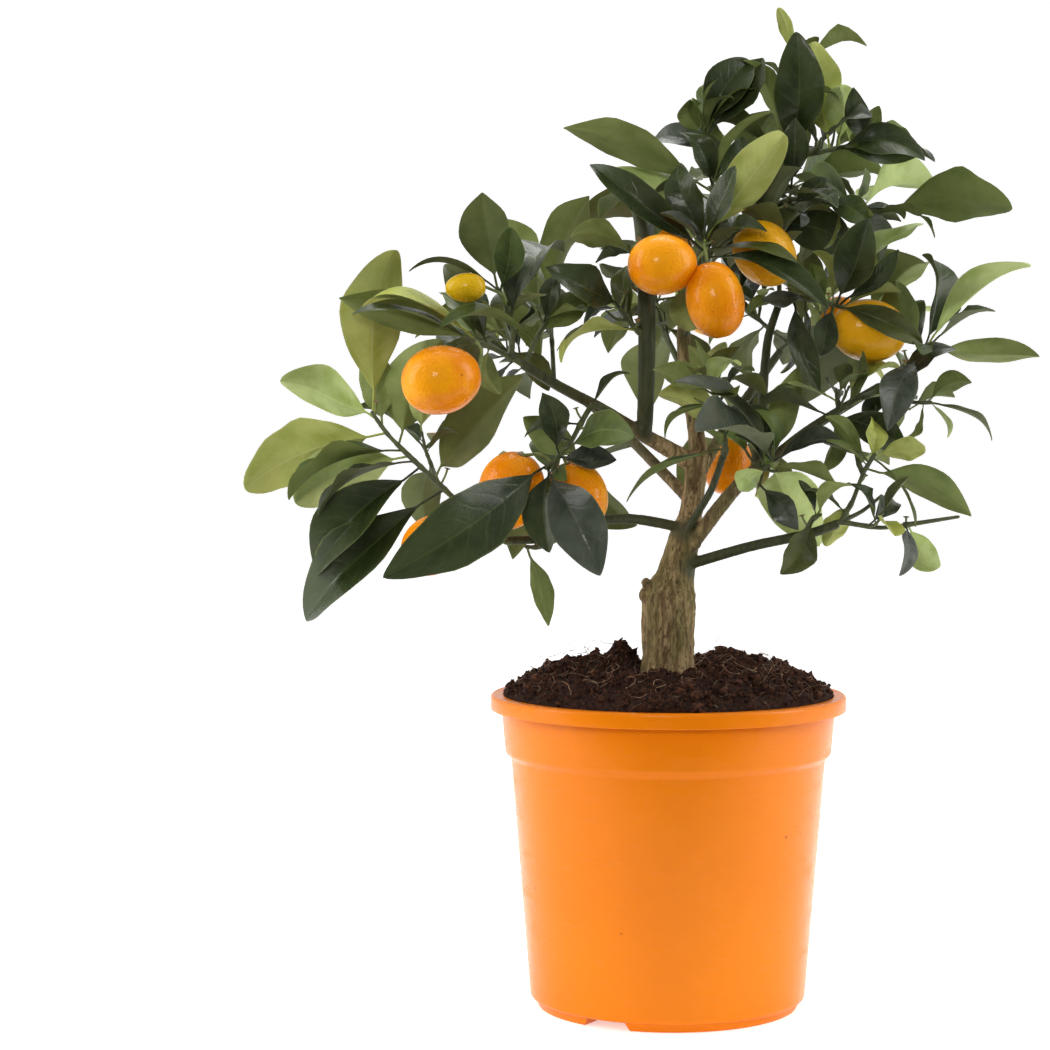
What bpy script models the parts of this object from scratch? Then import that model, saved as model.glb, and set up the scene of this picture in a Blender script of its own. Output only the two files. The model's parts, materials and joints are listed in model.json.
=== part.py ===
"""A calamondin orange tree with oval fruit, grown as a small standard in a round plastic pot.

Every sub-part is its own closed solid: the pot, the soil in it, the trunk, the boughs, and the masses of
foliage with their twigs, leaves and fruit. The script works in metres, with +Z up, +X to the right and +Y
to the back as the tree is seen from the front. The origin is the centre of the pot's flat underside.
Places in the tables are millimetres.
"""

import math
import random
import re
from collections import namedtuple

import bmesh
import bpy
from mathutils import Matrix, Vector
from mathutils.bvhtree import BVHTree

MM = 0.001
UP = Vector((0, 0, 1))
AWAY = Vector((0, 1, 0))
GAP = 0.3 * MM  # between two solids that touch on the real plant

# The pot, turned about +Z
POT_SIDES = 32
POT_HEIGHT = 168
RIM_RADIUS = 95
COLLAR_RADIUS = 89
FOOT_RADIUS = 69.5
FOOT_HEIGHT = 4.5
FLOOR_TOP = 6
WALL = 1.2
NOTCH_TURNS = (-120, 0, 120)  # degrees round the foot, from +X
NOTCH_WIDTH = 22
NOTCH_DEPTH = 18

# The soil
SOIL_AT_TRUNK = 178
SOIL_FLAT_RADIUS = 17
SOIL_EDGE_HEIGHT = 169.5
SOIL_RINGS = (17, 32, 52, 74)
SOIL_ROUGHNESS = 1.6
Mound = namedtuple("Mound", "right back height spread")
MOUNDS = (Mound(-23, 7, 13, 9), Mound(36, 32, 8, 20), Mound(-48, 26, 6, 20), Mound(8, -46, 3, 26),
          Mound(60, -22, 3, 15))

# Leaves and twigs
LEAF_LENGTH = 62  # from the root of the stalk to the tip
LEAF_ASPECTS = {"dark": 0.4, "green": 0.43, "young": 0.5}  # width over length
SLENDER, BROAD = 0.6, 1.2  # a slender and a broad leaf's width, as shares of the usual one
STALK_SHARE = 0.13  # of the leaf's length
STALK_THICKNESS = 1.3
KEEL_SHARE = 0.015  # the thickness at the midrib, of the leaf's length
LEAF_STATIONS = (0, STALK_SHARE, 0.42, 0.77, 1)
TWIG_RADIUS = 1.25
STALK_RADIUS = 0.9  # of a fruit's stalk
SPIRAL_STEP = math.radians(137.5)  # from one leaf to the next round a twig
CLEARANCE = 0.8 * MM  # kept between two masses
SHARP_ANGLE = math.radians(48)
LIMB_SIDES = 8
LIMB_STEPS = 2
TWIG_STEPS = 2
BOOLEAN_SOLVER = "MANIFOLD"  # the exact solver leaves slivers where many leaf stalks meet in one twig

Limb = namedtuple("Limb", "parent at route radii")
Twig = namedtuple("Twig", "parent at route leaves size", defaults=(1.0,))
Fruit = namedtuple("Fruit", "twig at centre hour lean length width")
Mass = namedtuple("Mass", "limb at twigs fruits", defaults=((),))
Leaf = namedtuple("Leaf", "root tip face arch length width tone")
Ovoid = namedtuple("Ovoid", "centre axis length width stalk")
Growth = namedtuple("Growth", "paths leaves fruits")

# Each limb leaves its parent's middle line at a share of the parent's length and runs through the route's
# points.
LIMBS = {
    "trunk": Limb(None, 0, [(0, 0, 178.3), (0, 0, 186), (0, 0, 200), (0.5, 0, 218), (3.5, 0, 230),
                            (6, 0, 240), (8.5, 0, 251), (12, 2, 264), (14, 4, 277), (15, 5, 288),
                            (17, 6, 296)],
                  [15.4, 13.9, 14.2, 14.8, 10.6, 9.1, 8.6, 6.2, 5.8, 6.1, 5.8]),
    "bough_left": Limb("trunk", 0.95, [(-2, -5, 300), (-16, -15, 308), (-37, -25, 321), (-58, -35, 332),
                                       (-78, -45, 344)],
                       [5.2, 4.4, 3.8, 3.2, 2.9, 2.6]),
    "bough_pruned": Limb("bough_left", 0.32, [(-13.5, -22, 318), (-13, -24, 340), (-13, -24, 376),
                                              (-16, -20, 417), (-21, -18, 431)],
                         [4.0, 4.4, 4.6, 4.8, 3.6, 2.2]),
    "bough_leader": Limb("trunk", 0.99, [(14, 12, 317), (9, 18, 352), (12, 20, 384), (24, 15, 416),
                                         (38, 12, 440)],
                         [5.0, 4.4, 3.9, 3.4, 2.9, 2.4]),
    "bough_right": Limb("trunk", 0.56, [(14, -4, 251), (30, -14, 273), (42, -16, 286), (56, -16, 296),
                                        (73, -12, 309), (96, -5, 323), (113, 0, 333)],
                        [4.3, 4.2, 3.9, 3.5, 3.1, 2.8, 2.5, 2.2]),
    "bough_middle": Limb("bough_right", 0.42, [(49, 0, 309), (51, 5, 333), (53, 2, 358), (58, -3, 375)],
                         [2.9, 2.8, 2.6, 2.4, 2.1]),
    "bough_low_right": Limb("trunk", 0.48, [(24, -9, 242), (46, -20, 249), (71, -30, 255), (87, -35, 261)],
                            [3.1, 3.0, 2.8, 2.7, 2.6]),
    "bough_low_left": Limb("trunk", 0.66, [(-16, -15, 262), (-37, -28, 262), (-60, -38, 254),
                                           (-86, -47, 253)],
                           [3.0, 2.8, 2.6, 2.4, 2.3]),
    "bough_front": Limb("trunk", 0.62, [(12, -12, 261), (21, -26, 278), (27, -34, 297)],
                        [2.3, 2.2, 2.1, 1.9]),
    "bough_back_left": Limb("trunk", 0.78, [(-4, 22, 288), (-28, 48, 312), (-52, 68, 330)],
                            [3.4, 3.1, 2.7, 2.3]),
    "bough_back_right": Limb("trunk", 0.85, [(28, 26, 303), (50, 52, 332), (66, 72, 352)],
                             [3.4, 3.1, 2.7, 2.3]),
    "bough_back_top": Limb("bough_leader", 0.42, [(14, 38, 384), (18, 56, 408), (24, 68, 428)],
                           [2.8, 2.6, 2.4, 2.1]),
}

# A twig runs from a share of its parent's length through the route's points. The first twig of a mass is
# its stem and leaves the limb. A twig's leaves are marks, from its foot to its tip: how far along the twig
# the leaf stands, in hundredths, the hour of a clock face that it points to as it is seen from the front, a
# letter for its tone (d dark, g green, y young and yellowish), its length in mm as it is seen from there, <
# or > for a lean towards or away from the viewer, and what it turns to the viewer (u its underside, o its
# upper side, e its edge), and n for a slender leaf or b for a broad one. A number in place of the marks is
# that many leaves in a spiral round the twig, of the usual length times the size.
MASSES = {
    "foliage_left": Mass("bough_left", 1.0, [
        Twig(None, 0, [(-95, -54, 353), (-109, -62, 358)],
             "61:5.5g27> 68:9.6g82un 78:9.8y67n 83:8.2d22> 93:9.9d63n"),
        Twig(0, 0.25, [(-83, -50, 362), (-87, -54, 375), (-91, -56, 383)],
             "48:0.4d44 52:1.0d55> 59:2.1d22 91:0.3g36o 95:9.6d52en 99:11.6d54ub"),
        Twig(0, 0.05, [(-71, -42, 357), (-65, -38, 368)], "50:9.4g52<n 64:1.7g35u 85:10.8d23> 99:2.7g22"),
        Twig(0, 0.3, [(-84, -30, 356), (-88, -14, 366)], 4, 0.8)],
        [Fruit(0, 0.8, (-119, -76, 336), 8.6, -10, 41, 35), Fruit(1, 0.7, (-107, -62, 383), 8.9, 0, 21, 15)]),
    "foliage_far_left": Mass("bough_low_left", 1.0, [
        Twig(None, 0, [(-104, -50, 266), (-123, -50, 284), (-137, -47, 297), (-148, -44, 308),
                       (-156, -42, 319)],
             "45:7.6d112o 52:1.3g74u> 62:7.5d85o 66:8.1d62 70:8.0y70u 74:8.3g69 78:0.7g63u 87:8.3y86u "
             "91:11.6g47u> 95:9.9y59u 99:0.2y93u"),
        Twig(0, 0.5, [(-126, -30, 292), (-130, -12, 300)], 3, 0.8)],
        [Fruit(0, 0.25, (-124, -70, 252), 7.6, -10, 34, 29)]),
    "foliage_inner_left": Mass("bough_left", 0.52, [
        Twig(None, 0, [(-42, -34, 322), (-54, -46, 302), (-66, -66, 291)],
             "23:1.3d29n 41:8.8d33n 69:2.6g38< 77:11.5d36 81:3.1d32 91:7.9d105o< 95:6.7d46> 99:5.1d62<")],
        [Fruit(0, 0.9, (-84, -58, 279), 6.6, 10, 41, 34), Fruit(0, 0.75, (-50, -50, 276), 5.4, 10, 37, 32)]),
    "foliage_low_left": Mass("bough_low_left", 0.72, [
        Twig(None, 0, [(-68, -50, 250), (-76, -55, 250)], "81:1.3d34> 99:5.5g46un")]),
    "foliage_pruned_side": Mass("bough_pruned", 0.42, [
        Twig(None, 0, [(-22, -30, 366), (-28, -34, 374)],
             "25:8.6y50en 29:8.7d48en 41:11.7d36 91:9.5g39 95:10.0d46o 99:7.8d22")]),
    "foliage_pruned_top": Mass("bough_pruned", 0.8, [
        Twig(None, 0, [(-20, -26, 402), (-23, -30, 406)], "40:9.7g39u 54:8.5d22")]),
    "foliage_upper_left": Mass("bough_leader", 0.42, [
        Twig(None, 0, [(19, -16, 398), (16, -32, 407)],
             "71:6.8g42u< 75:2.0d36< 79:3.9d69<n 83:10.3d84on 87:10.4y70un 91:11.3d52 95:0.7d45 "
             "99:1.2y73un"),
        Twig(0, 0.4, [(22, -12, 425), (22, -14, 440)],
             "65:9.4g63 83:9.4d35 87:11.5d41 91:9.5g93un 95:11.7g52un 99:1.3g51n")],
        [Fruit(0, 0.93, (-6, -52, 395), 8.9, -8, 36, 31), Fruit(0, 0.97, (21, -52, 377), 5.6, 0, 40, 30),
         Fruit(0, 0.6, (49, -22, 402), 4.6, 10, 37, 31)]),
    "foliage_top": Mass("bough_leader", 1.0, [
        Twig(None, 0, [(56, 6, 452), (62, 4, 472), (66, 6, 508)],
             "37:10.0d47 48:11.2g51un 65:2.3g30 72:11.0d29> 99:11.4y28un"),
        Twig(0, 0.15, [(29, -2, 452), (16, -6, 468)],
             "64:9.5d39o 78:8.3g35> 82:11.3g28 86:1.1d29 93:1.1d49ob"),
        Twig(0, 0.3, [(75, 8, 456), (97, 10, 461), (109, 10, 462)],
             "17:0.0d66o< 48:0.1d29> 58:11.6y60u 62:3.2g47on 79:11.5y31u 95:11.1d32o 99:2.7g26")]),
    "foliage_top_right": Mass("bough_leader", 0.7, [
        Twig(None, 0, [(59, 4, 430), (85, 0, 430), (112, -4, 424)],
             "34:3.5d61o 41:10.9d22 69:3.6g30u< 79:4.3d41o 83:9.2g34un 87:3.3d30 91:2.2y50u> "
             "95:3.6d38 99:2.9g71u")]),
    "foliage_middle_right": Mass("bough_middle", 1.0, [
        Twig(None, 0, [(67, -10, 380), (79, -17, 377), (90, -21, 374)],
             "31:5.5d54o<n 50:8.9d25 78:5.6d60 83:3.8d57o<n 87:11.4g32 91:1.6y70en 95:1.5d47n 99:2.5g35"),
        Twig(0, 0.1, [(58, -2, 395), (52, -4, 410)], 5, 0.75)],
        [Fruit(0, 0.9, (105, -12, 362), 3.2, 20, 42, 33)]),
    "foliage_right": Mass("bough_right", 1.0, [
        Twig(None, 0, [(126, 0, 344), (137, -4, 352)],
             "83:6.9d46o< 87:11.3g45u 91:0.3d59 95:1.5y72en 99:3.0g66un"),
        Twig(0, 0.2, [(125, -8, 325), (138, -12, 324)],
             "32:8.2d23 87:6.5g23 91:2.1g29u 95:3.8d44n 99:4.6y23")]),
    "foliage_low_right": Mass("bough_low_right", 1.0, [
        Twig(None, 0, [(108, -38, 259), (124, -42, 261)], "45:1.8d25> 91:6.0d26< 95:4.9y31u"),
        Twig(0, 0.9, [(148, -45, 265)], ""),
        Twig(0, 0.1, [(94, -38, 273), (99, -40, 287), (105, -40, 297)],
             "13:10.1d27 27:7.0y26u> 79:3.8g66un 83:10.1g27n 87:10.7g37un 91:0.4y25> 95:5.0g43n "
             "99:2.7y28u"),
        Twig(0, 0.08, [(100, -28, 267), (111, -22, 275)], "")]),
    "foliage_right_inner": Mass("bough_right", 0.72, [
        Twig(None, 0, [(84, -18, 316), (92, -22, 322)],
             "49:9.4d42 63:3.9d44o 76:6.4g36> 88:2.8g38 99:0.5d32")]),
    "foliage_low_front": Mass("bough_low_right", 0.8, [
        Twig(None, 0, [(73, -37, 263), (77, -42, 266)], "73:7.0d36ob 77:1.6g26 81:11.1d22")]),
    "foliage_centre": Mass("bough_right", 0.46, [
        Twig(None, 0, [(49, -24, 289), (53, -30, 293)],
             "79:4.8y55u> 83:3.6g37 87:2.4d46 91:10.4d74<n 95:11.3d37 99:0.3g54un")]),
    "foliage_front": Mass("bough_front", 1.0, [
        Twig(None, 0, [(27, -40, 305), (24, -45, 320), (20, -46, 333)],
             "16:8.2g63en 69:4.1d30< 79:8.1g35n 83:0.8d33 87:9.9g39u 91:11.3g31n 95:1.2y22 99:3.0d31")]),
    "foliage_back_left": Mass("bough_back_left", 1.0, [
        Twig(None, 0, [(-70, 82, 342), (-88, 92, 352)], 6),
        Twig(0, 0.3, [(-62, 90, 364), (-66, 104, 386)], 6),
        Twig(0, 0.35, [(-84, 68, 350), (-100, 56, 360)], 5, 0.9)],
        [Fruit(2, 0.9, (-120, 80, 338), 7.6, 10, 38, 32)]),
    "foliage_back_centre": Mass("bough_back_right", 0.45, [
        Twig(None, 0, [(36, 48, 302), (42, 62, 306)], 5, 0.9)],
        [Fruit(0, 0.6, (35, 42, 289), 6.4, 10, 33, 26)]),
    "foliage_back_low": Mass("bough_back_left", 0.5, [
        Twig(None, 0, [(-42, 58, 292), (-58, 80, 276), (-70, 98, 270)], 7, 0.85)],
        [Fruit(0, 0.8, (-48, 92, 270), 6.4, 15, 38, 32)]),
    "foliage_back_right": Mass("bough_back_right", 1.0, [
        Twig(None, 0, [(80, 88, 364), (92, 98, 378)], 7),
        Twig(0, 0.3, [(92, 72, 362), (112, 66, 370)], 5),
        Twig(0, 0.25, [(58, 96, 368), (46, 116, 384)], 6)],
        [Fruit(0, 0.7, (104, 114, 364), 5.6, 25, 40, 33), Fruit(2, 0.6, (32, 118, 376), 8.0, 10, 34, 28)]),
    "foliage_back_top": Mass("bough_back_top", 1.0, [
        Twig(None, 0, [(32, 82, 438), (38, 90, 450)], 6, 0.85),
        Twig(0, 0.2, [(16, 84, 430), (8, 98, 432)], 6, 0.8),
        Twig(0, 0.3, [(56, 80, 436), (76, 80, 444)], 6, 0.9)],
        [Fruit(1, 0.5, (2, 106, 412), 7.0, 20, 37, 32)]),
    "foliage_back_middle": Mass("bough_leader", 0.28, [
        Twig(None, 0, [(-1, 32, 362), (-5, 42, 378), (-7, 52, 396)],
             "43:6.3g46> 53:4.8d42 61:8.4d40 70:1.2g44 77:7.3g42> 85:10.6d40> 99:0.4d42>")]),
}

# Leaves that meet something else are tried again, turned and tilted by these degrees, and then smaller.
NUDGES = ((0, 0), (0, 18), (0, -18), (9, 0), (-9, 0), (9, 30), (-9, -30), (0, 42), (0, -42), (16, 15),
          (-16, -15), (22, 45), (-22, -45), (28, 0), (-28, 0))
SHRINKS = (1.0, 0.82)
MARK = re.compile(r"(\d\d):(\d+\.\d)([dgy])(\d+)([<>uoenb]*)")
TONES = {"d": "dark", "g": "green", "y": "young"}


def place(point):
    """A point of the tables, in metres."""
    return Vector(point) * MM


def smooth(points, steps):
    """Points on a Catmull-Rom curve through the given ones."""
    ends = [points[0] * 2 - points[1], *points, points[-1] * 2 - points[-2]]
    path = []
    for a, b, c, d in zip(ends, ends[1:], ends[2:], ends[3:]):
        for k in range(steps):
            t = k / steps
            bend = (a * 2 - b * 5 + c * 4 - d) * t**2 + (b * 3 - a - c * 3 + d) * t**3
            path.append((b * 2 + (c - a) * t + bend) / 2)
    return [*path, points[-1]]


def between(values, steps):
    """The values with evenly spaced ones set in between."""
    spread = [a + (b - a) * k / steps for a, b in zip(values, values[1:]) for k in range(steps)]
    return [*spread, values[-1]]


def along(path, share):
    """The point at a share of a path's length, and the path's direction there."""
    lengths = [(b - a).length for a, b in zip(path, path[1:])]
    left = sum(lengths) * share
    for a, b, length in zip(path, path[1:], lengths):
        if left <= length:
            return a + (b - a) * (left / length), (b - a).normalized()
        left -= length
    return path[-1].copy(), (path[-1] - path[-2]).normalized()


def tube(path, radii, sides):
    """A round bar along a path as (corners, faces), with flat ends."""
    steps = [(b - a).normalized() for a, b in zip(path, path[1:])]
    headings = [steps[0], *((a + b).normalized() for a, b in zip(steps, steps[1:])), steps[-1]]
    across = headings[0].orthogonal().normalized()
    corners, faces = [], []
    for centre, heading, radius in zip(path, headings, radii):
        across = (across - heading * across.dot(heading)).normalized()
        other = heading.cross(across)
        for k in range(sides):
            turn = math.tau * k / sides
            corners.append(centre + (across * math.cos(turn) + other * math.sin(turn)) * radius)
    for ring in range(len(path) - 1):
        for k in range(sides):
            first, following = ring * sides + k, ring * sides + (k + 1) % sides
            faces.append((first, following, following + sides, first + sides))
    last = (len(path) - 1) * sides
    faces.append(tuple(range(sides - 1, -1, -1)))
    faces.append(tuple(range(last, last + sides)))
    return corners, faces


def half_width(leaf, share):
    """Half the leaf's width at a share of its length: a stalk, then a blade that is pointed at both ends."""
    stalk = STALK_THICKNESS * MM / 2
    if share < STALK_SHARE:
        return stalk
    blade = (share - STALK_SHARE) / (1 - STALK_SHARE)
    return max(stalk, leaf.width / 2 * max(0, math.sin(math.pi * blade**1.12)) ** 0.8) if share < 1 else 0


def leaf_frame(leaf, share):
    """The midrib's point at a share of the leaf's length, and the ways across and out of its upper side."""
    crown = (leaf.root + leaf.tip) / 2 + leaf.face * leaf.arch * leaf.length
    centre = leaf.root * (1 - share) ** 2 + crown * 2 * share * (1 - share) + leaf.tip * share**2
    heading = ((crown - leaf.root) * (1 - share) + (leaf.tip - crown) * share).normalized()
    across = heading.cross(leaf.face).normalized()
    return centre, across, across.cross(heading)


def leaf_solid(leaf, spare=0.0):
    """A leaf as (corners, faces): a blade with a keel under its midrib, larger all round by the spare."""
    corners, faces = [], []
    for share in LEAF_STATIONS[:-1]:
        centre, across, out = leaf_frame(leaf, share)
        thick = STALK_THICKNESS * MM if share == 0 else KEEL_SHARE * leaf.length
        side = across * (half_width(leaf, share) + spare)
        top = centre + out * (thick / 2 + spare)
        corners += [top - side, top + side, centre - out * (thick / 2 + spare)]
    corners.append(leaf_frame(leaf, 1)[0])
    for ring in range(len(LEAF_STATIONS) - 2):
        for k in range(3):
            first, following = ring * 3 + k, ring * 3 + (k + 1) % 3
            faces.append((first, following, following + 3, first + 3))
    tip, last = len(corners) - 1, len(corners) - 4
    faces += [(last + k, last + (k + 1) % 3, tip) for k in range(3)]
    faces.append((2, 1, 0))
    return corners, faces


def ovoid_solid(fruit, sides=8, rings=5, spare=0.0):
    """An egg-shaped fruit as (corners, faces)."""
    across = fruit.axis.orthogonal().normalized()
    other = fruit.axis.cross(across)
    ends = [fruit.centre + fruit.axis * (fruit.length / 2 + spare) * way for way in (-1, 1)]
    corners, faces = [ends[0]], []
    for ring in range(1, rings + 1):
        tilt = math.pi * ring / (rings + 1)
        centre = fruit.centre - fruit.axis * math.cos(tilt) * (fruit.length / 2 + spare)
        radius = math.sin(tilt) * (fruit.width / 2 + spare)
        for k in range(sides):
            turn = math.tau * k / sides
            corners.append(centre + (across * math.cos(turn) + other * math.sin(turn)) * radius)
    corners.append(ends[1])
    for k in range(sides):
        following = (k + 1) % sides
        faces.append((0, 1 + following, 1 + k))
        for ring in range(rings - 1):
            low, high = 1 + ring * sides, 1 + (ring + 1) * sides
            faces.append((low + k, low + following, high + following, high + k))
        last = 1 + (rings - 1) * sides
        faces.append((last + k, last + following, len(corners) - 1))
    return corners, faces


def tree_of(solids):
    """A search tree of several (corners, faces)."""
    corners, faces = [], []
    for points, polygons in solids:
        faces += [tuple(len(corners) + i for i in polygon) for polygon in polygons]
        corners += points
    return BVHTree.FromPolygons(corners, faces)


def meets(solid, trees):
    """Whether a solid's surface crosses any that already stands."""
    own = BVHTree.FromPolygons(*solid)
    return any(own.overlap(tree) for tree in trees)


def limb_paths():
    """The path and radii of every limb, by name."""
    paths = {}
    for name, limb in LIMBS.items():
        route = [place(point) for point in limb.route]
        if limb.parent:
            route.insert(0, along(paths[limb.parent][0], limb.at)[0])
        radii = [radius * MM for radius in limb.radii]
        paths[name] = smooth(route, LIMB_STEPS), between(radii, LIMB_STEPS)
    return paths


def clock(hour, lean):
    """What points to an hour, one unit long as seen from the front, and leans away from the viewer."""
    turn = math.radians(hour * 30)
    return Vector((math.sin(turn), 0, math.cos(turn))) + AWAY * math.tan(math.radians(lean))


def upper_side(heading, twig_heading, shown, rng):
    """Where a leaf's upper side looks: up and towards the twig's tip, or as its mark says."""
    wanted = {"u": AWAY + UP * 0.5, "o": UP * 0.3 - AWAY, "e": UP}.get(shown, twig_heading * 0.7 + UP * 0.75)
    wanted = wanted + Vector([rng.uniform(-0.2, 0.2) for _ in range(3)])
    face = wanted - heading * wanted.dot(heading)
    if face.length < 0.2:
        face = -AWAY - heading * -AWAY.dot(heading)
    return face.normalized()


def free_leaf(root, heading_of, twig_heading, length, aspect, tone, shown, rng, standing, own):
    """The first leaf, over all nudges, that meets nothing. One that cuts its own mass is second choice."""
    second = None
    arch = rng.uniform(0.12, 0.24)
    aspect *= rng.uniform(0.9, 1.12)
    state = rng.getstate()
    for shrink in SHRINKS:
        for turn, tilt in NUDGES:
            rng.setstate(state)
            heading = heading_of(turn, tilt)
            size = length * shrink * heading.length
            heading.normalize()
            face = upper_side(heading, twig_heading, shown, rng)
            width = aspect * (size * length * shrink) ** 0.5
            leaf = Leaf(root, root + heading * size * 0.95, face, arch, size, width, tone)
            solid = leaf_solid(leaf, CLEARANCE)
            if meets(solid, standing):
                continue
            outer = solid[0][3:], [tuple(i - 3 for i in polygon) for polygon in solid[1] if min(polygon) >= 3]
            if not meets(outer, own):
                return leaf, outer
            second = second or (leaf, outer)
    return second


def marked_leaves(marks, rng):
    """Each mark's place on the twig, length, aspect, tone, side shown, and what gives its nudged heading."""
    for share, hour, tone, length, more in MARK.findall(marks):
        lean = rng.uniform(-20, 20) + 32 * (more.count(">") - more.count("<"))
        length = float(length) * MM
        shown = more.strip("<>nb")
        aspect = LEAF_ASPECTS[TONES[tone]] * (SLENDER if "n" in more else BROAD if "b" in more else 1)

        def heading_of(turn, tilt, hour=float(hour), lean=lean):
            return clock(hour + turn / 30, lean + tilt)

        yield int(share) / 100, length, aspect, TONES[tone], shown, heading_of


def spiral_leaves(count, size, path, rng):
    """The same for leaves in a spiral round a twig."""
    start = rng.uniform(0, math.tau)
    heading = (path[-1] - path[0]).normalized()
    across = heading.orthogonal().normalized()
    for k in range(count):
        spread = math.radians(66 - 34 * k / count)
        length = LEAF_LENGTH * MM * size * rng.uniform(0.8, 1.2)
        tone = rng.choices(("dark", "green", "young"), (6, 4, 1))[0]

        def heading_of(turn, tilt, angle=start + k * SPIRAL_STEP, spread=spread):
            radial = Matrix.Rotation(angle + math.radians(turn * 2), 3, heading) @ across
            out = spread + math.radians(tilt)
            return (heading * math.cos(out) + radial * math.sin(out) - UP * 0.12).normalized()

        yield 0.25 + 0.74 * ((k + 1) / count) ** 0.8, length, LEAF_ASPECTS[tone], tone, "", heading_of


def grow_twigs(mass, limb_path, standing):
    """The paths and radii of a mass's twigs. A twig that would meet anything outside the mass stays None."""
    paths = []
    for twig in mass.twigs:
        route = [place(point) for point in twig.route]
        thick, hidden = 1.1 * TWIG_RADIUS, 1
        if twig.parent is None:
            start, heading = along(limb_path, mass.at)
            thick, hidden = 1.5 * TWIG_RADIUS, TWIG_STEPS
            if mass.at == 1:
                route.insert(0, start + heading * 2 * MM)
                start -= heading * 3 * MM
        elif paths[twig.parent]:
            start = along(paths[twig.parent][0], twig.at)[0]
        else:
            paths.append(None)
            continue
        path = smooth([start, *route], TWIG_STEPS)
        radii = [(thick + (TWIG_RADIUS * 0.7 - thick) * k / (len(path) - 1)) * MM for k in range(len(path))]
        free = not meets(tube(path[hidden:], [radius + GAP for radius in radii[hidden:]], 4), standing)
        paths.append((path, radii) if free else None)
    return paths


def grow_fruit(fruit, path, standing):
    """A fruit that hangs from a twig on an arching stalk, or None where it would meet something."""
    axis = clock(fruit.hour, fruit.lean).normalized()
    centre, length = place(fruit.centre), fruit.length * MM
    start = along(path, fruit.at)[0]
    end = centre - axis * length / 2
    middle = (start + end) / 2 + (UP - axis).normalized() * (end - start).length * 0.15
    stalk = smooth([start, middle, end + axis * 2 * MM], TWIG_STEPS)
    ovoid = Ovoid(centre, axis, length, fruit.width * MM, stalk)
    bar = tube(stalk[1:], [2 * STALK_RADIUS * MM] * (len(stalk) - 1), 4)
    shapes = [ovoid_solid(ovoid, spare=CLEARANCE), bar]
    return None if any(meets(shape, standing) for shape in shapes) else ovoid


def grow_frame(mass, limb_path, standing):
    """The twigs and fruit of one mass, with no leaves yet."""
    paths = grow_twigs(mass, limb_path, standing)
    borne = [(fruit, paths[fruit.twig]) for fruit in mass.fruits if paths[fruit.twig]]
    fruits = [grow_fruit(fruit, bar[0], standing) for fruit, bar in borne]
    return Growth(paths, [], [fruit for fruit in fruits if fruit])


def grow_leaves(name, frame, standing):
    """Adds the leaves of one mass to its frame. One that would meet a limb or another mass is left out."""
    rng = random.Random(name)
    shapes = [ovoid_solid(fruit, spare=0.3 * CLEARANCE) for fruit in frame.fruits]
    own = [tree_of(shapes)] if shapes else []
    for twig, bar in zip(MASSES[name].twigs, frame.paths):
        if bar is None:
            continue
        if isinstance(twig.leaves, int):
            wanted = list(spiral_leaves(twig.leaves, twig.size, bar[0], rng))
        else:
            wanted = list(marked_leaves(twig.leaves, rng))
        for share, length, aspect, tone, shown, heading_of in wanted:
            root, twig_heading = along(bar[0], share)
            found = free_leaf(root, heading_of, twig_heading, length, aspect, tone, shown, rng, standing, own)
            if found:
                frame.leaves.append(found[0])
                own.append(tree_of([found[1]]))


def frame_solids(frame):
    """The twigs, fruit and stalks of a mass as (corners, faces), the stem first."""
    solids = [tube(*bar, 5 if i == 0 else 3) for i, bar in enumerate(frame.paths) if bar]
    for fruit in frame.fruits:
        solids.append(ovoid_solid(fruit))
        solids.append(tube(fruit.stalk, [STALK_RADIUS * MM] * len(fruit.stalk), 3))
    return solids


def grow_tree():
    """All limb paths, and the growth of every mass in the order of the table."""
    limbs = limb_paths()
    bars = [tube(path, radii, LIMB_SIDES) for path, radii in limbs.values()]
    standing = [tree_of(bars), tree_of([pot_outline()])]
    growths, frames = {}, {}
    for name, mass in MASSES.items():
        growths[name] = grow_frame(mass, limbs[mass.limb][0], [*standing, *frames.values()])
        frames[name] = tree_of(frame_solids(growths[name]))
    for name, growth in growths.items():
        grow_leaves(name, growth, [*standing, *(tree for other, tree in frames.items() if other != name)])
        standing.append(tree_of([leaf_solid(leaf) for leaf in growth.leaves]))
    return limbs, growths


def pot_outline():
    """A plain drum as wide as the pot's rim, for what grows to keep clear of."""
    path = [Vector((0, 0, 0)), Vector((0, 0, (SOIL_AT_TRUNK + 6) * MM))]
    return tube(path, [RIM_RADIUS * MM] * 2, 24)


def clear_scene():
    for old in list(bpy.data.objects):
        bpy.data.objects.remove(old)


def finish_material(name, colour, roughness):
    """A plain Principled finish."""
    material = bpy.data.materials.new(name)
    material.use_nodes = True
    shader = material.node_tree.nodes["Principled BSDF"]
    shader.inputs["Base Color"].default_value = (*colour, 1)
    shader.inputs["Roughness"].default_value = roughness
    shader.inputs["Metallic"].default_value = 0
    return material


def add_object(name, solid, material=None, collection=None):
    """A mesh object from (corners, faces), with its faces turned outwards."""
    mesh = bpy.data.meshes.new(name)
    corners, faces = solid
    mesh.from_pydata(corners, [], faces)
    work = bmesh.new()
    work.from_mesh(mesh)
    bmesh.ops.recalc_face_normals(work, faces=work.faces)
    work.to_mesh(mesh)
    work.free()
    if material:
        mesh.materials.append(material)
    obj = bpy.data.objects.new(name, mesh)
    (collection or bpy.context.scene.collection).objects.link(obj)
    return obj


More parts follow.
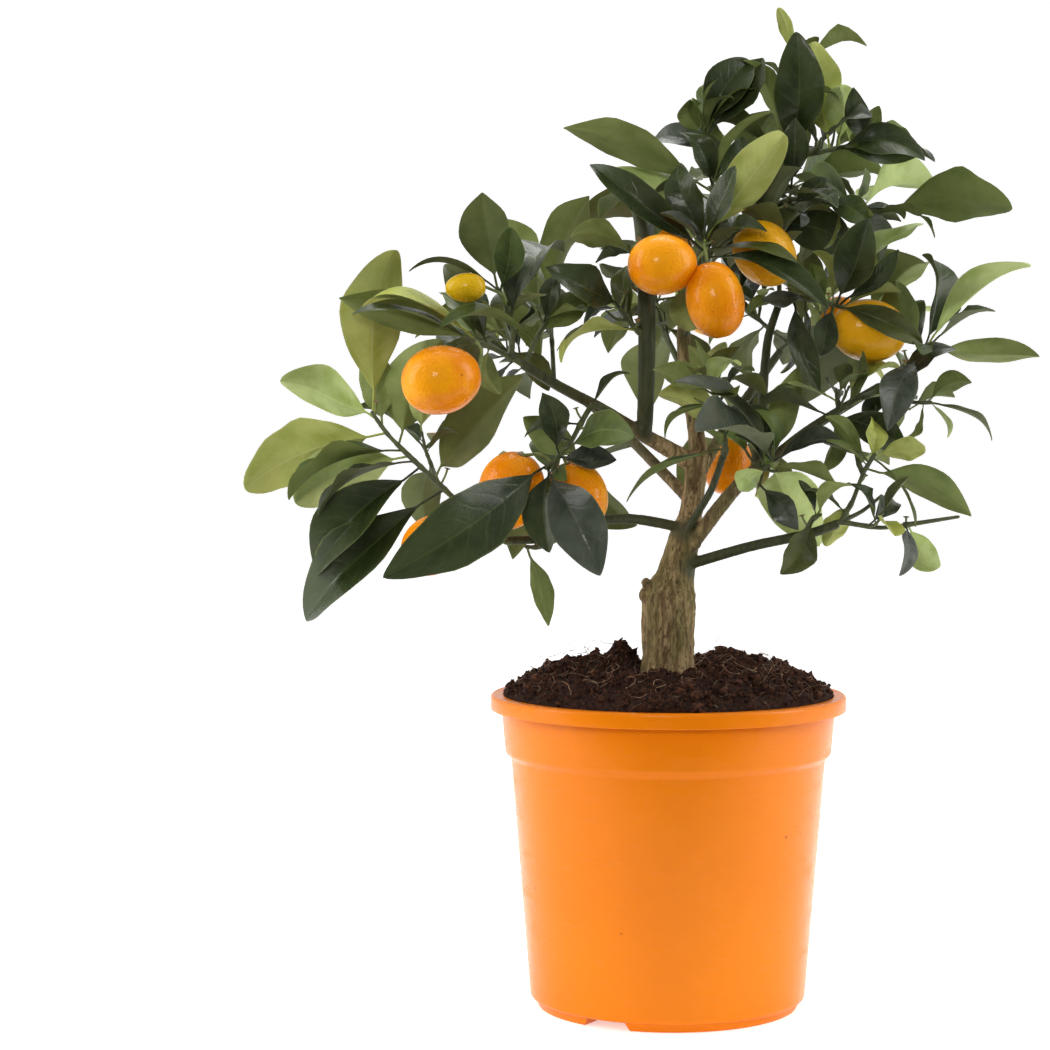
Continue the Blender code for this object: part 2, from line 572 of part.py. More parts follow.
def apply_boolean(obj, operation, solids):
    """Joins the solids to an object or cuts them from it, then removes them and any loose scrap."""
    helpers = bpy.data.collections.new("helpers")
    bpy.context.scene.collection.children.link(helpers)
    for solid in solids:
        add_object("helper", solid, collection=helpers)
    modifier = obj.modifiers.new("join", "BOOLEAN")
    modifier.operation = operation
    modifier.operand_type = "COLLECTION"
    modifier.collection = helpers
    modifier.solver = BOOLEAN_SOLVER
    mesh = bpy.data.meshes.new_from_object(obj.evaluated_get(bpy.context.evaluated_depsgraph_get()))
    obj.modifiers.clear()
    obj.data = mesh
    for helper in list(helpers.objects):
        bpy.data.objects.remove(helper)
    bpy.data.collections.remove(helpers)
    drop_scraps(mesh)


def drop_scraps(mesh):
    """Keeps the largest connected body of a mesh, which also fills a hollow that was sealed inside it."""
    work = bmesh.new()
    work.from_mesh(mesh)
    left, bodies = set(work.verts), []
    while left:
        body, edge = set(), [left.pop()]
        while edge:
            vert = edge.pop()
            body.add(vert)
            for link in vert.link_edges:
                other = link.other_vert(vert)
                if other in left:
                    left.remove(other)
                    edge.append(other)
        bodies.append(body)
    main = max(bodies, key=len)
    bmesh.ops.delete(work, geom=[vert for vert in work.verts if vert not in main], context="VERTS")
    work.to_mesh(mesh)
    work.free()


def pot_profile():
    """The pot's outline as (radius, height) in mm, from its underside's middle out, over the rim and in."""
    body_foot, body_top = 73.8, 84.1
    collar_foot, lip = 137, 160
    return [
        (0, 0), (FOOT_RADIUS, 0), (FOOT_RADIUS + 1.2, FOOT_HEIGHT), (body_foot - 0.9, FOOT_HEIGHT + 0.6),
        (body_foot, FOOT_HEIGHT + 2), (body_top, collar_foot - 3), (COLLAR_RADIUS - 1.8, collar_foot),
        (COLLAR_RADIUS, lip - 2), (COLLAR_RADIUS, POT_HEIGHT - WALL), (RIM_RADIUS - WALL, POT_HEIGHT - WALL),
        (RIM_RADIUS - WALL, lip), (RIM_RADIUS, lip), (RIM_RADIUS, POT_HEIGHT - 1),
        (RIM_RADIUS - 1, POT_HEIGHT), (COLLAR_RADIUS - 0.4, POT_HEIGHT),
        (COLLAR_RADIUS - WALL, POT_HEIGHT - 0.8), (COLLAR_RADIUS - WALL, lip - 2),
        (COLLAR_RADIUS - 1.8 - WALL, collar_foot + 0.5), (body_top - WALL, collar_foot - 3.5),
        (body_foot - WALL, FLOOR_TOP), (0, FLOOR_TOP),
    ]


def turned(profile, sides):
    """A closed outline turned about +Z, as (corners, faces). Its first and last points lie on the axis."""
    rings = profile[1:-1]
    corners = [Vector((0, 0, profile[0][1])) * MM, Vector((0, 0, profile[-1][1])) * MM]
    for k in range(sides):
        turn = math.tau * k / sides
        corners += [Vector((r * math.cos(turn), r * math.sin(turn), z)) * MM for r, z in rings]
    faces, count = [], len(rings)
    for k in range(sides):
        here, there = 2 + k * count, 2 + (k + 1) % sides * count
        faces.append((0, there, here))
        faces.append((1, here + count - 1, there + count - 1))
        faces += [(here + i, there + i, there + i + 1, here + i + 1) for i in range(count - 1)]
    return corners, faces


def notch_solid(turn):
    """A drainage channel with sloping sides, cut into the foot from its edge."""
    turn = math.radians(turn)
    out, across = Vector((math.cos(turn), math.sin(turn), 0)), Vector((-math.sin(turn), math.cos(turn), 0))
    corners = []
    for height, half in ((-1, NOTCH_WIDTH / 2 + 3), (FOOT_HEIGHT, NOTCH_WIDTH / 2)):
        for reach in (FOOT_RADIUS - NOTCH_DEPTH, FOOT_RADIUS + 10):
            corners += [(out * reach + across * half * way + UP * height) * MM for way in (-1, 1)]
    return corners, [(0, 1, 3, 2), (4, 6, 7, 5), (0, 2, 6, 4), (1, 5, 7, 3), (0, 4, 5, 1), (2, 3, 7, 6)]


def build_pot():
    plastic = finish_material("orange_plastic", (0.95, 0.24, 0.01), 0.35)
    pot = add_object("pot", turned(pot_profile(), POT_SIDES), plastic)
    apply_boolean(pot, "DIFFERENCE", [notch_solid(turn) for turn in NOTCH_TURNS])
    return pot


def soil_height(right, back, rng):
    """The height of the heaped soil above the pot's underside, in mm."""
    radius = math.hypot(right, back)
    height = SOIL_AT_TRUNK + (SOIL_EDGE_HEIGHT - SOIL_AT_TRUNK) * (radius / 87) ** 5
    for mound in MOUNDS:
        apart = math.hypot(right - mound.right, back - mound.back) / mound.spread
        height += mound.height * math.exp(-(apart**2) / 2) * min(1, (radius - SOIL_FLAT_RADIUS) / 4)
    return height + rng.uniform(-SOIL_ROUGHNESS, SOIL_ROUGHNESS)


def build_soil():
    """The root ball: it fills the pot and is heaped a little over the rim, flat where the trunk stands."""
    rng = random.Random("soil")
    walls = [(radius - GAP / MM * 1.2, height) for radius, height in pot_profile()[-7:-1]]
    walls[0] = (walls[0][0], SOIL_EDGE_HEIGHT)
    walls[-1] = (walls[-1][0], FLOOR_TOP + GAP / MM)
    profile = [(0, FLOOR_TOP + GAP / MM), *reversed(walls)]
    profile += [(radius, SOIL_AT_TRUNK) for radius in reversed(SOIL_RINGS)]
    profile.append((0, SOIL_AT_TRUNK))
    corners, faces = turned(profile, POT_SIDES)
    for corner in corners:
        right, back = corner.x / MM, corner.y / MM
        if math.hypot(right, back) > SOIL_FLAT_RADIUS + 1 and corner.z / MM > SOIL_EDGE_HEIGHT + 0.1:
            corner.z = soil_height(right, back, rng) * MM
    return add_object("soil", (corners, faces), finish_material("peat", (0.03, 0.016, 0.01), 0.95))


def swollen(path, radii):
    """A limb that is larger all round, and longer at its tip, by the gap."""
    heading = (path[-1] - path[-2]).normalized()
    return tube([*path[:-1], path[-1] + heading * GAP], [radius + GAP for radius in radii], LIMB_SIDES)


def build_limbs(limbs):
    """The trunk and boughs. Each bough is cut back from those before it that it would touch."""
    bark = finish_material("bark", (0.16, 0.11, 0.06), 0.85)
    green_bark = finish_material("green_bark", (0.05, 0.08, 0.03), 0.6)
    before = []
    for name, (path, radii) in limbs.items():
        solid = tube(path, radii, LIMB_SIDES)
        limb = add_object(name, solid, bark if name == "trunk" else green_bark)
        touched = [other for other in before if meets(solid, [tree_of([swollen(*limbs[other])])])]
        for other in touched:
            apply_boolean(limb, "DIFFERENCE", [swollen(*limbs[other])])
        before.append(name)


def build_masses(limbs, growths):
    """The masses of foliage, each joined into one body and cut back from the limb that bears it."""
    leafy = finish_material("leaves", (0.06, 0.11, 0.03), 0.4)
    for name, growth in growths.items():
        stem, *others = frame_solids(growth) + [leaf_solid(leaf) for leaf in growth.leaves]
        mass = add_object(name, stem, leafy)
        apply_boolean(mass, "UNION", others)
        apply_boolean(mass, "DIFFERENCE", [swollen(*limbs[MASSES[name].limb])])


def main():
    clear_scene()
    build_pot()
    build_soil()
    limbs, growths = grow_tree()
    build_limbs(limbs)
    build_masses(limbs, growths)
    for obj in bpy.data.objects:
        obj.data.shade_smooth()
        obj.data.set_sharp_from_angle(angle=SHARP_ANGLE)


main()
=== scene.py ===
"""The looks of a potted orange tree with oval fruit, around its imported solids.

The tree grows again here by the source's rule, from the same tables, so every leaf and fruit is where its
solid is. It then gets what the solids leave out: fine leaf blades with a fold and waves, finer shoots and
young leaves, peel, bark with furrows, and peat with crumbs and fibres. Places in the tables are millimetres,
and the meshes are in metres.
"""

import json
import math
import random
import re
from collections import namedtuple

import bmesh
import bpy
import numpy as np
from mathutils import Euler, Matrix, Vector, noise
from mathutils.bvhtree import BVHTree
from mathutils.kdtree import KDTree

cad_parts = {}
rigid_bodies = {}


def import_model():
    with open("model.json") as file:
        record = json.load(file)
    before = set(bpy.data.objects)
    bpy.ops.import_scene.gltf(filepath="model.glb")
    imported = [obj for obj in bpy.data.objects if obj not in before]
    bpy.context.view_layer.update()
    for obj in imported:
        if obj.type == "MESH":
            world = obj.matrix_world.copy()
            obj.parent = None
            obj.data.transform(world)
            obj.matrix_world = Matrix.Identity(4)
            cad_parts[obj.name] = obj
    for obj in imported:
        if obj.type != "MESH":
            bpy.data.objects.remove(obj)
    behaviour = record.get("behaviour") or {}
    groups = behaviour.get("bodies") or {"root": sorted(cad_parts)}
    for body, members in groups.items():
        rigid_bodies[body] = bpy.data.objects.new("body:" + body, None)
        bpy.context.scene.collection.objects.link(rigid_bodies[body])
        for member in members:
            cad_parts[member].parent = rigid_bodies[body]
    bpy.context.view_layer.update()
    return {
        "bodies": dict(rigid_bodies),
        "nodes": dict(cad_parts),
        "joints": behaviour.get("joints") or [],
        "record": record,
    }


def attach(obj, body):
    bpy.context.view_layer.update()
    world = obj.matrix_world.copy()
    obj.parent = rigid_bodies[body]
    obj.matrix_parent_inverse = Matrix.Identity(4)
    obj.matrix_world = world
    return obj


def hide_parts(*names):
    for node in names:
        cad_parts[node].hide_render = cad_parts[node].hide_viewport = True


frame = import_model()

MM = 0.001
UP = Vector((0, 0, 1))
AWAY = Vector((0, 1, 0))
GAP = 0.3 * MM  # between two solids that touch on the real plant

# The pot, turned about +Z
POT_HEIGHT = 168
RIM_RADIUS = 95
COLLAR_RADIUS = 89
FOOT_RADIUS = 69.5
FOOT_HEIGHT = 4.5
FLOOR_TOP = 6
WALL = 1.2
NOTCH_TURNS = (-120, 0, 120)  # degrees round the foot, from +X
NOTCH_WIDTH = 22
NOTCH_DEPTH = 18

# The soil
SOIL_AT_TRUNK = 178
SOIL_FLAT_RADIUS = 17
SOIL_EDGE_HEIGHT = 169.5
SOIL_ROUGHNESS = 1.6
Mound = namedtuple("Mound", "right back height spread")
MOUNDS = (Mound(-23, 7, 13, 9), Mound(36, 32, 8, 20), Mound(-48, 26, 6, 20), Mound(8, -46, 3, 26),
          Mound(60, -22, 3, 15))

# Leaves and twigs
LEAF_LENGTH = 62  # from the root of the stalk to the tip
LEAF_ASPECTS = {"dark": 0.4, "green": 0.43, "young": 0.5}  # width over length
SLENDER, BROAD = 0.6, 1.2  # a slender and a broad leaf's width, as shares of the usual one
STALK_SHARE = 0.13  # of the leaf's length
STALK_THICKNESS = 1.3
KEEL_SHARE = 0.015  # the thickness at the midrib, of the leaf's length
LEAF_STATIONS = (0, STALK_SHARE, 0.42, 0.77, 1)
TWIG_RADIUS = 1.25
STALK_RADIUS = 0.9  # of a fruit's stalk
SPIRAL_STEP = math.radians(137.5)  # from one leaf to the next round a twig
CLEARANCE = 0.8 * MM  # kept between two masses
LIMB_SIDES = 8
LIMB_STEPS = 2
TWIG_STEPS = 2
BOOLEAN_SOLVER = "MANIFOLD"  # the exact solver leaves slivers where many leaf stalks meet in one twig

Limb = namedtuple("Limb", "parent at route radii")
Twig = namedtuple("Twig", "parent at route leaves size", defaults=(1.0,))
Fruit = namedtuple("Fruit", "twig at centre hour lean length width")
Mass = namedtuple("Mass", "limb at twigs fruits", defaults=((),))
Leaf = namedtuple("Leaf", "root tip face arch length width tone")
Ovoid = namedtuple("Ovoid", "centre axis length width stalk")
Growth = namedtuple("Growth", "paths leaves fruits")

# Each limb leaves its parent's middle line at a share of the parent's length and runs through the route's
# points.
LIMBS = {
    "trunk": Limb(None, 0, [(0, 0, 178.3), (0, 0, 186), (0, 0, 200), (0.5, 0, 218), (3.5, 0, 230),
                            (6, 0, 240), (8.5, 0, 251), (12, 2, 264), (14, 4, 277), (15, 5, 288),
                            (17, 6, 296)],
                  [15.4, 13.9, 14.2, 14.8, 10.6, 9.1, 8.6, 6.2, 5.8, 6.1, 5.8]),
    "bough_left": Limb("trunk", 0.95, [(-2, -5, 300), (-16, -15, 308), (-37, -25, 321), (-58, -35, 332),
                                       (-78, -45, 344)],
                       [5.2, 4.4, 3.8, 3.2, 2.9, 2.6]),
    "bough_pruned": Limb("bough_left", 0.32, [(-13.5, -22, 318), (-13, -24, 340), (-13, -24, 376),
                                              (-16, -20, 417), (-21, -18, 431)],
                         [4.0, 4.4, 4.6, 4.8, 3.6, 2.2]),
    "bough_leader": Limb("trunk", 0.99, [(14, 12, 317), (9, 18, 352), (12, 20, 384), (24, 15, 416),
                                         (38, 12, 440)],
                         [5.0, 4.4, 3.9, 3.4, 2.9, 2.4]),
    "bough_right": Limb("trunk", 0.56, [(14, -4, 251), (30, -14, 273), (42, -16, 286), (56, -16, 296),
                                        (73, -12, 309), (96, -5, 323), (113, 0, 333)],
                        [4.3, 4.2, 3.9, 3.5, 3.1, 2.8, 2.5, 2.2]),
    "bough_middle": Limb("bough_right", 0.42, [(49, 0, 309), (51, 5, 333), (53, 2, 358), (58, -3, 375)],
                         [2.9, 2.8, 2.6, 2.4, 2.1]),
    "bough_low_right": Limb("trunk", 0.48, [(24, -9, 242), (46, -20, 249), (71, -30, 255), (87, -35, 261)],
                            [3.1, 3.0, 2.8, 2.7, 2.6]),
    "bough_low_left": Limb("trunk", 0.66, [(-16, -15, 262), (-37, -28, 262), (-60, -38, 254),
                                           (-86, -47, 253)],
                           [3.0, 2.8, 2.6, 2.4, 2.3]),
    "bough_front": Limb("trunk", 0.62, [(12, -12, 261), (21, -26, 278), (27, -34, 297)],
                        [2.3, 2.2, 2.1, 1.9]),
    "bough_back_left": Limb("trunk", 0.78, [(-4, 22, 288), (-28, 48, 312), (-52, 68, 330)],
                            [3.4, 3.1, 2.7, 2.3]),
    "bough_back_right": Limb("trunk", 0.85, [(28, 26, 303), (50, 52, 332), (66, 72, 352)],
                             [3.4, 3.1, 2.7, 2.3]),
    "bough_back_top": Limb("bough_leader", 0.42, [(14, 38, 384), (18, 56, 408), (24, 68, 428)],
                           [2.8, 2.6, 2.4, 2.1]),
}

# A twig runs from a share of its parent's length through the route's points. The first twig of a mass is
# its stem and leaves the limb. A twig's leaves are marks, from its foot to its tip: how far along the twig
# the leaf stands, in hundredths, the hour of a clock face that it points to as it is seen from the front, a
# letter for its tone (d dark, g green, y young and yellowish), its length in mm as it is seen from there, <
# or > for a lean towards or away from the viewer, and what it turns to the viewer (u its underside, o its
# upper side, e its edge), and n for a slender leaf or b for a broad one. A number in place of the marks is
# that many leaves in a spiral round the twig, of the usual length times the size.
MASSES = {
    "foliage_left": Mass("bough_left", 1.0, [
        Twig(None, 0, [(-95, -54, 353), (-109, -62, 358)],
             "61:5.5g27> 68:9.6g82un 78:9.8y67n 83:8.2d22> 93:9.9d63n"),
        Twig(0, 0.25, [(-83, -50, 362), (-87, -54, 375), (-91, -56, 383)],
             "48:0.4d44 52:1.0d55> 59:2.1d22 91:0.3g36o 95:9.6d52en 99:11.6d54ub"),
        Twig(0, 0.05, [(-71, -42, 357), (-65, -38, 368)], "50:9.4g52<n 64:1.7g35u 85:10.8d23> 99:2.7g22"),
        Twig(0, 0.3, [(-84, -30, 356), (-88, -14, 366)], 4, 0.8)],
        [Fruit(0, 0.8, (-119, -76, 336), 8.6, -10, 41, 35), Fruit(1, 0.7, (-107, -62, 383), 8.9, 0, 21, 15)]),
    "foliage_far_left": Mass("bough_low_left", 1.0, [
        Twig(None, 0, [(-104, -50, 266), (-123, -50, 284), (-137, -47, 297), (-148, -44, 308),
                       (-156, -42, 319)],
             "45:7.6d112o 52:1.3g74u> 62:7.5d85o 66:8.1d62 70:8.0y70u 74:8.3g69 78:0.7g63u 87:8.3y86u "
             "91:11.6g47u> 95:9.9y59u 99:0.2y93u"),
        Twig(0, 0.5, [(-126, -30, 292), (-130, -12, 300)], 3, 0.8)],
        [Fruit(0, 0.25, (-124, -70, 252), 7.6, -10, 34, 29)]),
    "foliage_inner_left": Mass("bough_left", 0.52, [
        Twig(None, 0, [(-42, -34, 322), (-54, -46, 302), (-66, -66, 291)],
             "23:1.3d29n 41:8.8d33n 69:2.6g38< 77:11.5d36 81:3.1d32 91:7.9d105o< 95:6.7d46> 99:5.1d62<")],
        [Fruit(0, 0.9, (-84, -58, 279), 6.6, 10, 41, 34), Fruit(0, 0.75, (-50, -50, 276), 5.4, 10, 37, 32)]),
    "foliage_low_left": Mass("bough_low_left", 0.72, [
        Twig(None, 0, [(-68, -50, 250), (-76, -55, 250)], "81:1.3d34> 99:5.5g46un")]),
    "foliage_pruned_side": Mass("bough_pruned", 0.42, [
        Twig(None, 0, [(-22, -30, 366), (-28, -34, 374)],
             "25:8.6y50en 29:8.7d48en 41:11.7d36 91:9.5g39 95:10.0d46o 99:7.8d22")]),
    "foliage_pruned_top": Mass("bough_pruned", 0.8, [
        Twig(None, 0, [(-20, -26, 402), (-23, -30, 406)], "40:9.7g39u 54:8.5d22")]),
    "foliage_upper_left": Mass("bough_leader", 0.42, [
        Twig(None, 0, [(19, -16, 398), (16, -32, 407)],
             "71:6.8g42u< 75:2.0d36< 79:3.9d69<n 83:10.3d84on 87:10.4y70un 91:11.3d52 95:0.7d45 "
             "99:1.2y73un"),
        Twig(0, 0.4, [(22, -12, 425), (22, -14, 440)],
             "65:9.4g63 83:9.4d35 87:11.5d41 91:9.5g93un 95:11.7g52un 99:1.3g51n")],
        [Fruit(0, 0.93, (-6, -52, 395), 8.9, -8, 36, 31), Fruit(0, 0.97, (21, -52, 377), 5.6, 0, 40, 30),
         Fruit(0, 0.6, (49, -22, 402), 4.6, 10, 37, 31)]),
    "foliage_top": Mass("bough_leader", 1.0, [
        Twig(None, 0, [(56, 6, 452), (62, 4, 472), (66, 6, 508)],
             "37:10.0d47 48:11.2g51un 65:2.3g30 72:11.0d29> 99:11.4y28un"),
        Twig(0, 0.15, [(29, -2, 452), (16, -6, 468)],
             "64:9.5d39o 78:8.3g35> 82:11.3g28 86:1.1d29 93:1.1d49ob"),
        Twig(0, 0.3, [(75, 8, 456), (97, 10, 461), (109, 10, 462)],
             "17:0.0d66o< 48:0.1d29> 58:11.6y60u 62:3.2g47on 79:11.5y31u 95:11.1d32o 99:2.7g26")]),
    "foliage_top_right": Mass("bough_leader", 0.7, [
        Twig(None, 0, [(59, 4, 430), (85, 0, 430), (112, -4, 424)],
             "34:3.5d61o 41:10.9d22 69:3.6g30u< 79:4.3d41o 83:9.2g34un 87:3.3d30 91:2.2y50u> "
             "95:3.6d38 99:2.9g71u")]),
    "foliage_middle_right": Mass("bough_middle", 1.0, [
        Twig(None, 0, [(67, -10, 380), (79, -17, 377), (90, -21, 374)],
             "31:5.5d54o<n 50:8.9d25 78:5.6d60 83:3.8d57o<n 87:11.4g32 91:1.6y70en 95:1.5d47n 99:2.5g35"),
        Twig(0, 0.1, [(58, -2, 395), (52, -4, 410)], 5, 0.75)],
        [Fruit(0, 0.9, (105, -12, 362), 3.2, 20, 42, 33)]),
    "foliage_right": Mass("bough_right", 1.0, [
        Twig(None, 0, [(126, 0, 344), (137, -4, 352)],
             "83:6.9d46o< 87:11.3g45u 91:0.3d59 95:1.5y72en 99:3.0g66un"),
        Twig(0, 0.2, [(125, -8, 325), (138, -12, 324)],
             "32:8.2d23 87:6.5g23 91:2.1g29u 95:3.8d44n 99:4.6y23")]),
    "foliage_low_right": Mass("bough_low_right", 1.0, [
        Twig(None, 0, [(108, -38, 259), (124, -42, 261)], "45:1.8d25> 91:6.0d26< 95:4.9y31u"),
        Twig(0, 0.9, [(148, -45, 265)], ""),
        Twig(0, 0.1, [(94, -38, 273), (99, -40, 287), (105, -40, 297)],
             "13:10.1d27 27:7.0y26u> 79:3.8g66un 83:10.1g27n 87:10.7g37un 91:0.4y25> 95:5.0g43n "
             "99:2.7y28u"),
        Twig(0, 0.08, [(100, -28, 267), (111, -22, 275)], "")]),
    "foliage_right_inner": Mass("bough_right", 0.72, [
        Twig(None, 0, [(84, -18, 316), (92, -22, 322)],
             "49:9.4d42 63:3.9d44o 76:6.4g36> 88:2.8g38 99:0.5d32")]),
    "foliage_low_front": Mass("bough_low_right", 0.8, [
        Twig(None, 0, [(73, -37, 263), (77, -42, 266)], "73:7.0d36ob 77:1.6g26 81:11.1d22")]),
    "foliage_centre": Mass("bough_right", 0.46, [
        Twig(None, 0, [(49, -24, 289), (53, -30, 293)],
             "79:4.8y55u> 83:3.6g37 87:2.4d46 91:10.4d74<n 95:11.3d37 99:0.3g54un")]),
    "foliage_front": Mass("bough_front", 1.0, [
        Twig(None, 0, [(27, -40, 305), (24, -45, 320), (20, -46, 333)],
             "16:8.2g63en 69:4.1d30< 79:8.1g35n 83:0.8d33 87:9.9g39u 91:11.3g31n 95:1.2y22 99:3.0d31")]),
    "foliage_back_left": Mass("bough_back_left", 1.0, [
        Twig(None, 0, [(-70, 82, 342), (-88, 92, 352)], 6),
        Twig(0, 0.3, [(-62, 90, 364), (-66, 104, 386)], 6),
        Twig(0, 0.35, [(-84, 68, 350), (-100, 56, 360)], 5, 0.9)],
        [Fruit(2, 0.9, (-120, 80, 338), 7.6, 10, 38, 32)]),
    "foliage_back_centre": Mass("bough_back_right", 0.45, [
        Twig(None, 0, [(36, 48, 302), (42, 62, 306)], 5, 0.9)],
        [Fruit(0, 0.6, (35, 42, 289), 6.4, 10, 33, 26)]),
    "foliage_back_low": Mass("bough_back_left", 0.5, [
        Twig(None, 0, [(-42, 58, 292), (-58, 80, 276), (-70, 98, 270)], 7, 0.85)],
        [Fruit(0, 0.8, (-48, 92, 270), 6.4, 15, 38, 32)]),
    "foliage_back_right": Mass("bough_back_right", 1.0, [
        Twig(None, 0, [(80, 88, 364), (92, 98, 378)], 7),
        Twig(0, 0.3, [(92, 72, 362), (112, 66, 370)], 5),
        Twig(0, 0.25, [(58, 96, 368), (46, 116, 384)], 6)],
        [Fruit(0, 0.7, (104, 114, 364), 5.6, 25, 40, 33), Fruit(2, 0.6, (32, 118, 376), 8.0, 10, 34, 28)]),
    "foliage_back_top": Mass("bough_back_top", 1.0, [
        Twig(None, 0, [(32, 82, 438), (38, 90, 450)], 6, 0.85),
        Twig(0, 0.2, [(16, 84, 430), (8, 98, 432)], 6, 0.8),
        Twig(0, 0.3, [(56, 80, 436), (76, 80, 444)], 6, 0.9)],
        [Fruit(1, 0.5, (2, 106, 412), 7.0, 20, 37, 32)]),
    "foliage_back_middle": Mass("bough_leader", 0.28, [
        Twig(None, 0, [(-1, 32, 362), (-5, 42, 378), (-7, 52, 396)],
             "43:6.3g46> 53:4.8d42 61:8.4d40 70:1.2g44 77:7.3g42> 85:10.6d40> 99:0.4d42>")]),
}

# Leaves that meet something else are tried again, turned and tilted by these degrees, and then smaller.
NUDGES = ((0, 0), (0, 18), (0, -18), (9, 0), (-9, 0), (9, 30), (-9, -30), (0, 42), (0, -42), (16, 15),
          (-16, -15), (22, 45), (-22, -45), (28, 0), (-28, 0))
SHRINKS = (1.0, 0.82)
MARK = re.compile(r"(\d\d):(\d+\.\d)([dgy])(\d+)([<>uoenb]*)")
TONES = {"d": "dark", "g": "green", "y": "young"}


def place(point):
    """A point of the tables, in metres."""
    return Vector(point) * MM


def smooth(points, steps):
    """Points on a Catmull-Rom curve through the given ones."""
    ends = [points[0] * 2 - points[1], *points, points[-1] * 2 - points[-2]]
    path = []
    for a, b, c, d in zip(ends, ends[1:], ends[2:], ends[3:]):
        for k in range(steps):
            t = k / steps
            bend = (a * 2 - b * 5 + c * 4 - d) * t**2 + (b * 3 - a - c * 3 + d) * t**3
            path.append((b * 2 + (c - a) * t + bend) / 2)
    return [*path, points[-1]]


def between(values, steps):
    """The values with evenly spaced ones set in between."""
    spread = [a + (b - a) * k / steps for a, b in zip(values, values[1:]) for k in range(steps)]
    return [*spread, values[-1]]


def along(path, share):
    """The point at a share of a path's length, and the path's direction there."""
    lengths = [(b - a).length for a, b in zip(path, path[1:])]
    left = sum(lengths) * share
    for a, b, length in zip(path, path[1:], lengths):
        if left <= length:
            return a + (b - a) * (left / length), (b - a).normalized()
        left -= length
    return path[-1].copy(), (path[-1] - path[-2]).normalized()


def tube(path, radii, sides):
    """A round bar along a path as (corners, faces), with flat ends."""
    steps = [(b - a).normalized() for a, b in zip(path, path[1:])]
    headings = [steps[0], *((a + b).normalized() for a, b in zip(steps, steps[1:])), steps[-1]]
    across = headings[0].orthogonal().normalized()
    corners, faces = [], []
    for centre, heading, radius in zip(path, headings, radii):
        across = (across - heading * across.dot(heading)).normalized()
        other = heading.cross(across)
        for k in range(sides):
            turn = math.tau * k / sides
            corners.append(centre + (across * math.cos(turn) + other * math.sin(turn)) * radius)
    for ring in range(len(path) - 1):
        for k in range(sides):
            first, following = ring * sides + k, ring * sides + (k + 1) % sides
            faces.append((first, following, following + sides, first + sides))
    last = (len(path) - 1) * sides
    faces.append(tuple(range(sides - 1, -1, -1)))
    faces.append(tuple(range(last, last + sides)))
    return corners, faces


def half_width(leaf, share):
    """Half the leaf's width at a share of its length: a stalk, then a blade that is pointed at both ends."""
    stalk = STALK_THICKNESS * MM / 2
    if share < STALK_SHARE:
        return stalk
    blade = (share - STALK_SHARE) / (1 - STALK_SHARE)
    return max(stalk, leaf.width / 2 * max(0, math.sin(math.pi * blade**1.12)) ** 0.8) if share < 1 else 0


def leaf_frame(leaf, share):
    """The midrib's point at a share of the leaf's length, and the ways across and out of its upper side."""
    crown = (leaf.root + leaf.tip) / 2 + leaf.face * leaf.arch * leaf.length
    centre = leaf.root * (1 - share) ** 2 + crown * 2 * share * (1 - share) + leaf.tip * share**2
    heading = ((crown - leaf.root) * (1 - share) + (leaf.tip - crown) * share).normalized()
    across = heading.cross(leaf.face).normalized()
    return centre, across, across.cross(heading)


def leaf_solid(leaf, spare=0.0):
    """A leaf as (corners, faces): a blade with a keel under its midrib, larger all round by the spare."""
    corners, faces = [], []
    for share in LEAF_STATIONS[:-1]:
        centre, across, out = leaf_frame(leaf, share)
        thick = STALK_THICKNESS * MM if share == 0 else KEEL_SHARE * leaf.length
        side = across * (half_width(leaf, share) + spare)
        top = centre + out * (thick / 2 + spare)
        corners += [top - side, top + side, centre - out * (thick / 2 + spare)]
    corners.append(leaf_frame(leaf, 1)[0])
    for ring in range(len(LEAF_STATIONS) - 2):
        for k in range(3):
            first, following = ring * 3 + k, ring * 3 + (k + 1) % 3
            faces.append((first, following, following + 3, first + 3))
    tip, last = len(corners) - 1, len(corners) - 4
    faces += [(last + k, last + (k + 1) % 3, tip) for k in range(3)]
    faces.append((2, 1, 0))
    return corners, faces


def ovoid_solid(fruit, sides=8, rings=5, spare=0.0):
    """An egg-shaped fruit as (corners, faces)."""
    across = fruit.axis.orthogonal().normalized()
    other = fruit.axis.cross(across)
    ends = [fruit.centre + fruit.axis * (fruit.length / 2 + spare) * way for way in (-1, 1)]
    corners, faces = [ends[0]], []
    for ring in range(1, rings + 1):
        tilt = math.pi * ring / (rings + 1)
        centre = fruit.centre - fruit.axis * math.cos(tilt) * (fruit.length / 2 + spare)
        radius = math.sin(tilt) * (fruit.width / 2 + spare)
        for k in range(sides):
            turn = math.tau * k / sides
            corners.append(centre + (across * math.cos(turn) + other * math.sin(turn)) * radius)
    corners.append(ends[1])
    for k in range(sides):
        following = (k + 1) % sides
        faces.append((0, 1 + following, 1 + k))
        for ring in range(rings - 1):
            low, high = 1 + ring * sides, 1 + (ring + 1) * sides
            faces.append((low + k, low + following, high + following, high + k))
        last = 1 + (rings - 1) * sides
        faces.append((last + k, last + following, len(corners) - 1))
    return corners, faces


def tree_of(solids):
    """A search tree of several (corners, faces)."""
    corners, faces = [], []
    for points, polygons in solids:
        faces += [tuple(len(corners) + i for i in polygon) for polygon in polygons]
        corners += points
    return BVHTree.FromPolygons(corners, faces)


def meets(solid, trees):
    """Whether a solid's surface crosses any that already stands."""
    own = BVHTree.FromPolygons(*solid)
    return any(own.overlap(tree) for tree in trees)


